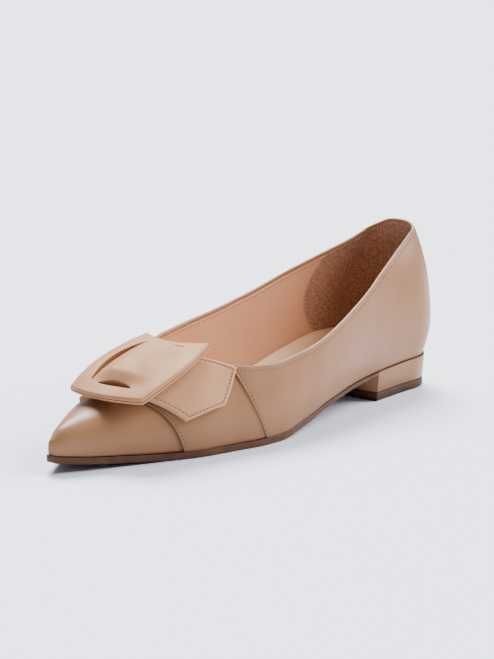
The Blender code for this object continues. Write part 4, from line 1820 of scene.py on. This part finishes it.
@dataclass
class Buckle:
    """Covered ornamental buckle: arched plate, raised panel, three slots and a line at its edge."""

    last: Last
    leather: bpy.types.Material
    shadow: bpy.types.Material
    front_width: float = 44 * MM
    rear_width: float = 38 * MM
    length: float = 53 * MM
    at: float = 0.226
    shift: float = 3.0 * MM
    tilt: float = math.radians(-1.5)
    thickness: float = 3.2 * MM
    bulge: float = 4.0 * MM
    bow: float = 5.0 * MM
    arch: float = 1.8 * MM
    flare: float = 1.2 * MM
    droop: float = 1.8 * MM
    crown: float = 3.0 * MM
    frame_swell: float = 0.5 * MM
    edge_radius: float = 0.9 * MM
    edge_line: float = 0.2 * MM
    voxel: float = 0.3 * MM
    slot_shade: float = 0.45

    def __post_init__(self) -> None:
        """Finds the buckle's directions and its seat on the ridge, from the solid's top."""
        reach = 0.45 * self.length / self.last.reach
        rear, front, middle = (
            self.last.point(np.array(self.at + step), np.array(1.0), Side.OUTER)
            for step in (reach, -reach, 0)
        )
        slope = rear - front
        angle = math.atan2(slope[2], slope[1]) + self.tilt
        self.across = np.array([1.0, 0.0, 0.0])
        self.ahead = np.array([0.0, math.cos(angle), math.sin(angle)])
        self.away = np.cross(self.across, self.ahead)
        self.origin = middle + self.shift * self.across
        self.seat = 0.0
        a, b = np.meshgrid(np.linspace(-1, 1, 61), np.linspace(-1, 1, 61), indexing="ij")
        top = self.world(a, b, self.face(a, b))
        self.seat = (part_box("buckle")[1].z - top[..., 2].max()) / self.away[2]

    def plan(self, a: np.ndarray, b: np.ndarray) -> tuple[np.ndarray, np.ndarray]:
        """Place in the buckle's plane of points in shares of its half sizes.

        Args:
            a: shares across the shoe.
            b: shares along it.

        Returns:
            Distances across and along.
        """
        width = self.front_width + (self.rear_width - self.front_width) * (b + 1) / 2
        half = width / 2 + self.bulge * (1 - b * b)
        return a * half, b * self.length / 2 - self.bow * (1 - a * a)

    def world(self, a: np.ndarray, b: np.ndarray, height: np.ndarray) -> np.ndarray:
        """Points of the buckle, placed on the shoe.

        Args:
            a: shares across the shoe.
            b: shares along it.
            height: heights over the seat.

        Returns:
            The points.
        """
        x, y = self.plan(np.asarray(a, float), np.asarray(b, float))
        height = np.asarray(height, float) + self.seat
        flat = self.origin + x[..., None] * self.across + y[..., None] * self.ahead
        return flat + height[..., None] * self.away

    def face(self, a: np.ndarray, b: np.ndarray) -> np.ndarray:
        """Height of the face: arch, droop, flared rear corners and raised panel.

        Args:
            a: shares across the shoe.
            b: shares along it.

        Returns:
            One height for each point.
        """
        plate = self.arch * (1 - b * b) - self.droop * a * a
        plate += self.flare * a * a * np.maximum(b, 0) ** 2
        ends = np.where(b < 0, soft_step((0.70 + b) / 0.34), soft_step((0.92 - b) / 0.30))
        medial = soft_step((a + 0.60) / 0.5)
        outer = soft_step((0.85 - a) / 0.75)
        return plate + self.crown * ends * medial * outer

    def frame_rise(self, a: np.ndarray, b: np.ndarray) -> np.ndarray:
        """Swelling of the inner strip of the frame beside its slot."""
        return self.frame_swell * hill(a + 0.78, 0.16) * soft_step((1 - np.abs(b)) / 0.4)

    def plate(self) -> bpy.types.Object:
        """The plate, its slots cut and every edge rounded as a leather cover rounds it.

        Returns:
            The piece.
        """
        near = np.array([0, 0.004, 0.012, 0.024, 0.04])
        line = np.concatenate([-1 + near, np.linspace(-0.94, 0.94, 95), 1 - near[::-1]])
        a, b = np.meshgrid(line, line, indexing="ij")
        sideways, lengthwise = (1 - np.abs(a)) * self.front_width, (1 - np.abs(b)) * self.length
        away = np.minimum(sideways / 2, lengthwise / 2)
        loss = self.edge_radius * (1 - rounded(away, self.edge_radius))
        face = self.face(a, b)
        high = self.world(a, b, face + self.frame_rise(a, b) - loss)
        low = self.world(a, b, face - self.thickness + loss * 0.8)
        points = np.array([high, low]).reshape(-1, 3)
        faces = two_faced(*a.shape, turned=False)
        plate = add_piece("buckle_leather", points, faces, self.leather, closed=True)
        cutters = [self.cutter(slot) for slot in SLOTS]
        for cutter in cutters:
            change = plate.modifiers.new("slot", "BOOLEAN")
            change.operation, change.solver, change.object = "DIFFERENCE", "EXACT", cutter
        cover = plate.modifiers.new("cover", "REMESH")
        cover.mode, cover.voxel_size, cover.use_smooth_shade = "VOXEL", self.voxel, True
        soften = plate.modifiers.new("soften", "SMOOTH")
        soften.factor, soften.iterations = 0.5, 4
        trees = [surface_of(cutter) for cutter in cutters]
        settle(plate)
        self.shade_slots(plate, trees)
        for cutter in cutters:
            bpy.data.objects.remove(cutter)
        plate.data.materials.clear()
        plate.data.materials.append(self.leather)
        return plate

    def shade_slots(self, plate: bpy.types.Object, trees: list[BVHTree]) -> None:
        """Paints shade on the walls of the slots.

        Args:
            plate: the finished plate.
            trees: surfaces of the cutters.
        """
        values = []
        for vertex in plate.data.vertices:
            near = min(tree.find_nearest(vertex.co)[3] for tree in trees)
            steep = 1 - abs(float(np.dot(vertex.normal, self.away)))
            wall = min(max((steep - 0.25) / 0.35, 0.0), 1.0)
            values.append(self.slot_shade * wall if near < self.voxel else 0.0)
        layer = plate.data.attributes.new("crevice", "FLOAT", "POINT")
        layer.data.foreach_set("value", values)

    def cutter(self, slot: Slot) -> bpy.types.Object:
        """A crescent prism for one slot.

        Args:
            slot: the slot.

        Returns:
            The cutter.
        """
        count, reach = 25, 10 * MM
        half = (self.front_width if slot.lengthwise else self.length) / 2
        bend = math.copysign(1, slot.place) * (1 if slot.lengthwise else -1)
        t = np.linspace(-1, 1, count)
        run = (slot.start + slot.end) / 2 + (slot.end - slot.start) / 2 * t
        bowed_side = slot.place + bend * slot.width / half * (1 - t * t)
        levels = np.concatenate([np.full(count, slot.place), bowed_side[-2:0:-1]])
        runs = np.concatenate([run, run[-2:0:-1]])
        a, b = (levels, runs) if slot.lengthwise else (runs, levels)
        ends = [self.world(a, b, np.full(len(a), height)) for height in (-reach, reach)]
        around = len(a)
        faces = [list(range(around)), list(range(2 * around - 1, around - 1, -1))]
        for k in range(around):
            after = (k + 1) % around
            faces.append([k, after, after + around, k + around])
        cutter = add_piece("slot_cutter", np.concatenate(ends), faces, self.leather, closed=True)
        cutter.hide_render = True
        return cutter

    def border(self) -> bpy.types.Object:
        """Fine dark line along the edge of the plate, where its two leathers meet: painted shadow
        in the join.

        Returns:
            The piece.
        """
        t = np.linspace(-1, 1, 60)
        one = np.ones(60)
        a = np.concatenate([t, one, -t, -one])
        b = np.concatenate([-one, t, one, -t])
        height = self.face(a, b) - 0.5 * self.thickness
        path = self.world(a * 0.998, b * 0.998, height)
        return tube("buckle_border", path, self.edge_line, self.shadow)


def tube(
    name: str, path: np.ndarray, radius: float, material: bpy.types.Material
) -> bpy.types.Object:
    """A closed thin tube of six sides along a closed path.

    Args:
        name: name of the piece.
        path: points of the path.
        radius: radius of the tube.
        material: its material.

    Returns:
        The piece.
    """
    path = path[np.linalg.norm(path - np.roll(path, 1, axis=0), axis=1) > WELD]
    ahead = unit(np.roll(path, -1, axis=0) - np.roll(path, 1, axis=0))
    side = unit(np.cross(ahead, (0, 0, 1)))
    up = np.cross(side, ahead)
    angles = np.linspace(0, 2 * math.pi, 6, endpoint=False)
    rings = [path + radius * (side * math.cos(t) + up * math.sin(t)) for t in angles]
    ids = np.arange(len(angles) * len(path)).reshape(len(angles), -1)
    quads = grid_faces(np.pad(ids, ((0, 1), (0, 1)), mode="wrap").T)
    return add_piece(name, np.concatenate(rings), quads, material, closed=True)


@dataclass
class Studio:
    """Pale floor, soft lights and the camera."""

    place: tuple[float, float, float] = (0.7876, -0.9467, 0.2983)
    lens: float = 191.8
    aim: tuple[float, float, float] = (0.0, 0.0, 0.045)
    floor_half: float = 15.0
    floor_colour: Colour = (0.75, 0.81, 0.935)
    sky_colour: Colour = (0.86, 0.90, 0.96)
    dim_way: tuple[float, float, float] = (0.62, -0.76, 0.2)
    bright: float = 0.6
    dim: float = 0.12

    def floor(self) -> bpy.types.Object:
        """A wide pale floor.

        Returns:
            The floor.
        """
        material, nodes, shader = new_material("floor_paper")
        where = nodes.add("ShaderNodeTexCoord").outputs["Object"]
        inputs = {"Vector": where, "Scale": 900.0, "Detail": 2.0}
        fibre = nodes.add("ShaderNodeTexNoise", inputs).outputs[0]
        inputs = {"Strength": 0.15, "Distance": 0.1 * MM, "Height": fibre}
        nodes.feed(shader, {
            "Base Color": (*self.floor_colour, 1),
            "Roughness": 0.75,
            "Normal": nodes.add("ShaderNodeBump", inputs).outputs[0],
        })
        mesh = bpy.data.meshes.new("floor")
        half = self.floor_half
        corners = [(-half, -half, 0), (half, -half, 0), (half, half, 0), (-half, half, 0)]
        mesh.from_pydata(corners, [], [(0, 1, 2, 3)])
        mesh.materials.append(material)
        floor = linked(bpy.data.objects.new("floor", mesh))
        return floor

    def light(
        self,
        name: str,
        place: tuple[float, float, float],
        spread: float,
        strength: float,
        colour: Colour,
    ) -> None:
        """A wide soft light that shines on the whole floor alike.

        Args:
            name: its name.
            place: direction that it shines from.
            spread: how wide it is, in degrees.
            strength: watts on a square metre.
            colour: its colour.
        """
        data = bpy.data.lights.new(name, "SUN")
        data.angle, data.energy, data.color = math.radians(spread), strength, colour
        lamp = linked(bpy.data.objects.new(name, data))
        lamp.location = place
        lamp.rotation_euler = (-Vector(place)).to_track_quat("-Z", "Y").to_euler()

    def lights(self) -> None:
        """Two wide lights behind the shoe, a faint one beside it, and a sky dimmer in front."""
        self.light("key", (-0.95, 0.8, 1.55), 34, 9.8, (1.0, 0.985, 0.965))
        self.light("rim", (0.9, 1.3, 1.2), 42, 5.6, (1.0, 0.99, 0.98))
        self.light("fill", (1.6, 0.2, 1.0), 50, 0.3, (0.98, 0.985, 1.0))
        world = bpy.data.worlds.new("studio")
        bpy.context.scene.world = world
        world.use_nodes = True
        nodes = Nodes(world.node_tree)
        way = {0: nodes.add("ShaderNodeTexCoord").outputs["Generated"], 1: self.dim_way}
        ahead = nodes.add("ShaderNodeVectorMath", way, operation="DOT_PRODUCT").outputs["Value"]
        inputs = {
            "Value": ahead,
            "From Min": -0.2,
            "From Max": 0.8,
            "To Min": self.bright,
            "To Max": self.dim,
        }
        strength = nodes.add("ShaderNodeMapRange", inputs).outputs[0]
        sky = world.node_tree.nodes["Background"]
        nodes.feed(sky, {"Color": (*self.sky_colour, 1), "Strength": strength})

    def camera(self) -> bpy.types.Object:
        """The camera at the photograph's angle.

        Returns:
            The camera.
        """
        data = bpy.data.cameras.new("camera")
        data.sensor_fit, data.sensor_width, data.lens = "HORIZONTAL", 36, self.lens
        camera = linked(bpy.data.objects.new("camera", data))
        camera.location = self.place
        way = Vector(self.aim) - Vector(self.place)
        camera.rotation_euler = way.to_track_quat("-Z", "Y").to_euler()
        bpy.context.scene.camera = camera
        return camera


def plain_finish(name: str, colour: Colour, roughness: float) -> bpy.types.Material:
    """A matt material with a fine noise in its roughness.

    Args:
        name: its name.
        colour: its colour.
        roughness: its roughness.

    Returns:
        The material.
    """
    material, nodes, shader = new_material(name)
    where = nodes.add("ShaderNodeTexCoord").outputs["Object"]
    speck = nodes.add("ShaderNodeTexNoise", {"Vector": where, "Scale": 1200.0}).outputs[0]
    inputs = {"Value": speck, "To Min": roughness - 0.1, "To Max": roughness + 0.1}
    spread = nodes.add("ShaderNodeMapRange", inputs).outputs[0]
    nodes.feed(shader, {"Base Color": (*colour, 1), "Roughness": spread})
    return material


NUDE = LeatherFinish(
    "nude_calf",
    colour=(0.287, 0.134, 0.063), patch=(0.262, 0.119, 0.055), crevice=(0.075, 0.029, 0.014),
    roughness=0.38, spread=0.05, cells=1500, depth=0.03 * MM, coat=0.02, gloss=0.17,
)
TRIM = LeatherFinish(
    "nude_trim",
    colour=(0.44, 0.21, 0.098), patch=(0.395, 0.18, 0.081), crevice=(0.07, 0.026, 0.012),
    roughness=0.52, spread=0.06, cells=1700, depth=0.04 * MM, waves=70, patch_amount=0.7,
    gloss=0.11,
)
STRAP = LeatherFinish(
    "nude_strap",
    colour=(0.56, 0.295, 0.152), patch=(0.51, 0.262, 0.132), crevice=(0.08, 0.03, 0.014),
    roughness=0.52, spread=0.06, cells=1700, depth=0.04 * MM, waves=70, patch_amount=0.7,
    gloss=0.11,
)
SOLE = LeatherFinish(
    "sole_edge",
    colour=(0.105, 0.046, 0.023), patch=(0.075, 0.032, 0.016), crevice=(0.025, 0.011, 0.006),
    roughness=0.5, spread=0.08, cells=900, depth=0.05 * MM, waves=160, patch_amount=0.8,
    gloss=0.15,
)
RUBBER = LeatherFinish(
    "top_piece",
    colour=(0.060, 0.028, 0.014), patch=(0.046, 0.022, 0.011), crevice=(0.025, 0.012, 0.006),
    roughness=0.62, spread=0.08, cells=2200, depth=0.04 * MM, waves=120, patch_amount=0.6,
    gloss=0.15,
)
LINING = LeatherFinish(
    "lining_kid",
    colour=(0.56, 0.30, 0.18), patch=(0.52, 0.27, 0.16), crevice=(0.28, 0.13, 0.07),
    roughness=0.48, spread=0.06, cells=1300, depth=0.03 * MM, waves=35,
    nap=((0.225, 0.108, 0.064), (0.41, 0.235, 0.158)),
)
SOCK = LeatherFinish(
    "sock_kid",
    colour=(1.0, 0.72, 0.48), patch=(0.97, 0.68, 0.45), crevice=(0.26, 0.11, 0.055),
    roughness=0.55, spread=0.06, cells=1300, depth=0.03 * MM, waves=35,
)
THREAD = LeatherFinish(
    "thread",
    colour=(0.36, 0.185, 0.10), patch=(0.32, 0.16, 0.085), crevice=(0.10, 0.045, 0.022),
    roughness=0.6, spread=0.05, cells=5000, depth=0.04 * MM, waves=400,
)
FINISHES = (NUDE, TRIM, STRAP, SOLE, RUBBER, LINING, SOCK, THREAD)


def dress(piece: bpy.types.Object, slot: str, *nodes: str) -> bpy.types.Object:
    """Ties a piece to the solids.

    Args:
        piece: the piece.
        slot: material slot of the record, not used.
        nodes: solids that it stands for.

    Returns:
        The piece.
    """
    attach(piece, "root")
    if nodes:
        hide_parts(*nodes)
    LOG.info("%s: %d faces", piece.name, len(piece.data.polygons))
    return piece


def main() -> None:
    """Builds the shoe's pieces in order, then the studio."""
    logging.basicConfig(level=logging.INFO, format="%(name)s: %(message)s")
    grain, tone = grain_group(), tone_group()
    nude, trim, folded, sole, rubber, kid, sock, thread = (
        finish.build(grain, tone) for finish in FINISHES
    )
    shadow = plain_finish("seam_shadow", (0.06, 0.03, 0.018), 0.8)
    # Dark beads for the needle holes: painted shade in them
    needle = plain_finish("needle_hole", (0.085, 0.036, 0.018), 0.8)
    last = Last()

    upper = Upper(last, nude, kid)
    dress(upper.toe_panel(), "nude_leather", "upper")
    band = dress(upper.cross_band(), "nude_leather", "upper")
    quarters = dress(upper.quarters(), "nude_leather", "upper")
    lining = dress(upper.lining_skin(), "sock_leather", "upper")

    bottom = Bottom(last, sole, nude, rubber, sock, shadow)
    dress(bottom.outsole(), "sole_leather", "outsole")
    dress(bottom.heel(), "nude_leather", "heel_block")
    dress(bottom.heel_tip(), "brown_rubber", "heel_top_piece")
    dress(bottom.sock(), "sock_leather", "insole")
    dress(bottom.feather_line(), "sole_leather")

    strap = Strap(last, folded)
    tongue = dress(strap.body(), "nude_leather", "strap")
    buckle = Buckle(last, trim, shadow)
    dress(buckle.plate(), "nude_leather", "buckle")
    dress(buckle.border(), "nude_leather")

    stitcher = Stitcher(StitchPattern(), thread, needle)
    for seam, carrier, name in ((Seam.FRONT, band, "front"), (Seam.REAR, quarters, "rear")):
        for side, (points, normals) in zip(Side, upper.seam_run(seam, upper.stitch_inset)):
            label = f"stitches_{name}_{side.name.lower()}"
            dress(stitcher.row(label, points + normals * upper.lap, [carrier]), "nude_leather")
    outside, inside = upper.collar_run(1.9 * MM, False), upper.collar_run(2.6 * MM, True)
    for label, points, carriers in (
        ("stitches_collar_outside", outside, [band, quarters]),
        ("stitches_collar_inside", inside, [lining]),
        ("stitches_strap", strap.stitch_line(), [tongue]),
    ):
        dress(stitcher.row(label, points, carriers), "nude_leather")

    studio = Studio()
    studio.floor()
    studio.lights()
    studio.camera()


if __name__ == "__main__":
    main()
